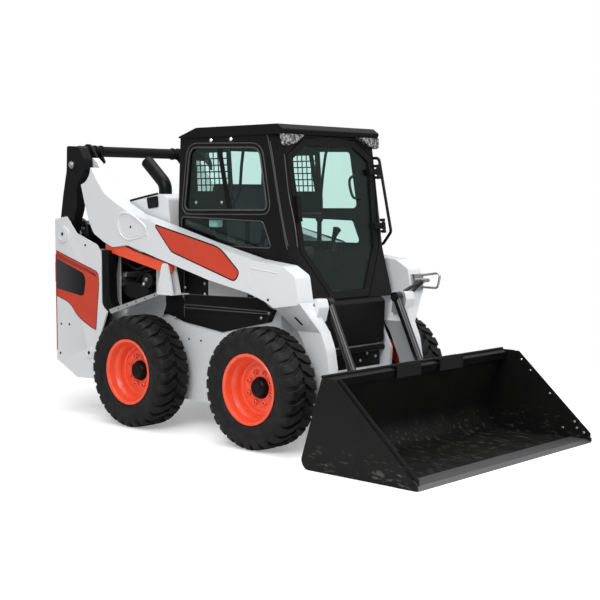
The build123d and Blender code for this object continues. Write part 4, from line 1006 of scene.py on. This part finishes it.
FLOOR_WHITE = (0.86, 0.86, 0.86)
FLOOR_HALF = 40.0
FADE_START = 2.0
FADE_END = 4.0


def floor():
    """White floor near the machine that keeps its shadow, and fades by the square of the distance to clear."""
    mesh = bpy.data.meshes.new("floor")
    corners = [(-1, -1), (1, -1), (1, 1), (-1, 1)]
    mesh.from_pydata([(FLOOR_HALF * x, FLOOR_HALF * y, 0) for x, y in corners], [], [(0, 1, 2, 3)])
    obj = bpy.data.objects.new("floor", mesh)
    bpy.context.scene.collection.objects.link(obj)
    f = material("floor paint")
    seen = f.add("ShaderNodeLightPath", out="Is Camera Ray")
    glow = f.add("ShaderNodeEmission", None, {"Color": (1, 1, 1), "Strength": seen * 0.3})
    matt = f.add("ShaderNodeBsdfDiffuse", None, {"Color": FLOOR_WHITE})
    lit = f.add("ShaderNodeAddShader", None, {0: glow, 1: matt})
    away = f.axis("X") ** 2 + f.axis("Y") ** 2
    fade = f.add("ShaderNodeMapRange", {"interpolation_type": "SMOOTHSTEP"},
                 {"Value": away, "From Min": FADE_START ** 2, "From Max": FADE_END ** 2})
    clear = f.add("ShaderNodeBsdfTransparent")
    mesh.materials.append(f.output(f.add("ShaderNodeMixShader", None, {0: fade, 1: lit, 2: clear})))


def studio_world(ambient=0.4):
    """White surroundings: full strength for what is seen, mirrored or seen through, and dimmer as a lamp."""
    world = bpy.data.worlds.new("studio")
    bpy.context.scene.world = world
    f = Finish(world)
    camera, glossy, through = (f.add("ShaderNodeLightPath", out=name)
                               for name in ("Is Camera Ray", "Is Glossy Ray", "Is Transmission Ray"))
    seen = camera.maths("MAXIMUM", through)
    up = f.add("ShaderNodeSeparateXYZ", None, {0: f.add("ShaderNodeTexCoord", out="Generated")}, out="Z")
    sky = f.add("ShaderNodeMapRange", None, {"Value": up, "From Min": -0.3, "From Max": 0.8, "To Min": 0.25,
                                             "To Max": 0.9})
    base = (1 - glossy) * ambient + glossy * sky
    shader = f.add("ShaderNodeBackground", None, {"Color": (1, 1, 1), "Strength": base * (1 - seen) + seen})
    f.output(shader, "ShaderNodeOutputWorld")


def lamp(name, place, target, size, power):
    """Square lamp of a size in metres and a power in watts, turned to its target."""
    light = bpy.data.lights.new(name, "AREA")
    light.shape = "SQUARE"
    light.size = size
    light.energy = power
    obj = bpy.data.objects.new(name, light)
    obj.location = place
    obj.rotation_euler = (Vector(target) - Vector(place)).to_track_quat("-Z", "Y").to_euler()
    bpy.context.scene.collection.objects.link(obj)


CAMERA_PLACE = (5.6875, -6.083, 1.556)
CAMERA_AIM = (0.0933, 0.0, 0.8674)
CAMERA_LENS = 74.66


def camera():
    """Camera at the photograph's place, aim and lens."""
    data = bpy.data.cameras.new("camera")
    data.lens = CAMERA_LENS
    data.sensor_width = 36.0
    data.clip_end = 200.0
    obj = bpy.data.objects.new("camera", data)
    obj.location = CAMERA_PLACE
    obj.rotation_euler = (Vector(CAMERA_AIM) - Vector(CAMERA_PLACE)).to_track_quat("-Z", "Y").to_euler()
    bpy.context.scene.collection.objects.link(obj)
    bpy.context.scene.camera = obj


floor()
studio_world()
lamp("key", (3.0, -5.4, 5.4), (0, 0, 0.8), 4.0, 330)
lamp("top", (0.0, 0.0, 9.0), (0, 0, 0), 6.0, 460)
lamp("front", (8.0, 1.0, 5.0), (0, 0, 0.8), 5.0, 300)
camera()
bpy.context.scene.view_settings.view_transform = "Standard"
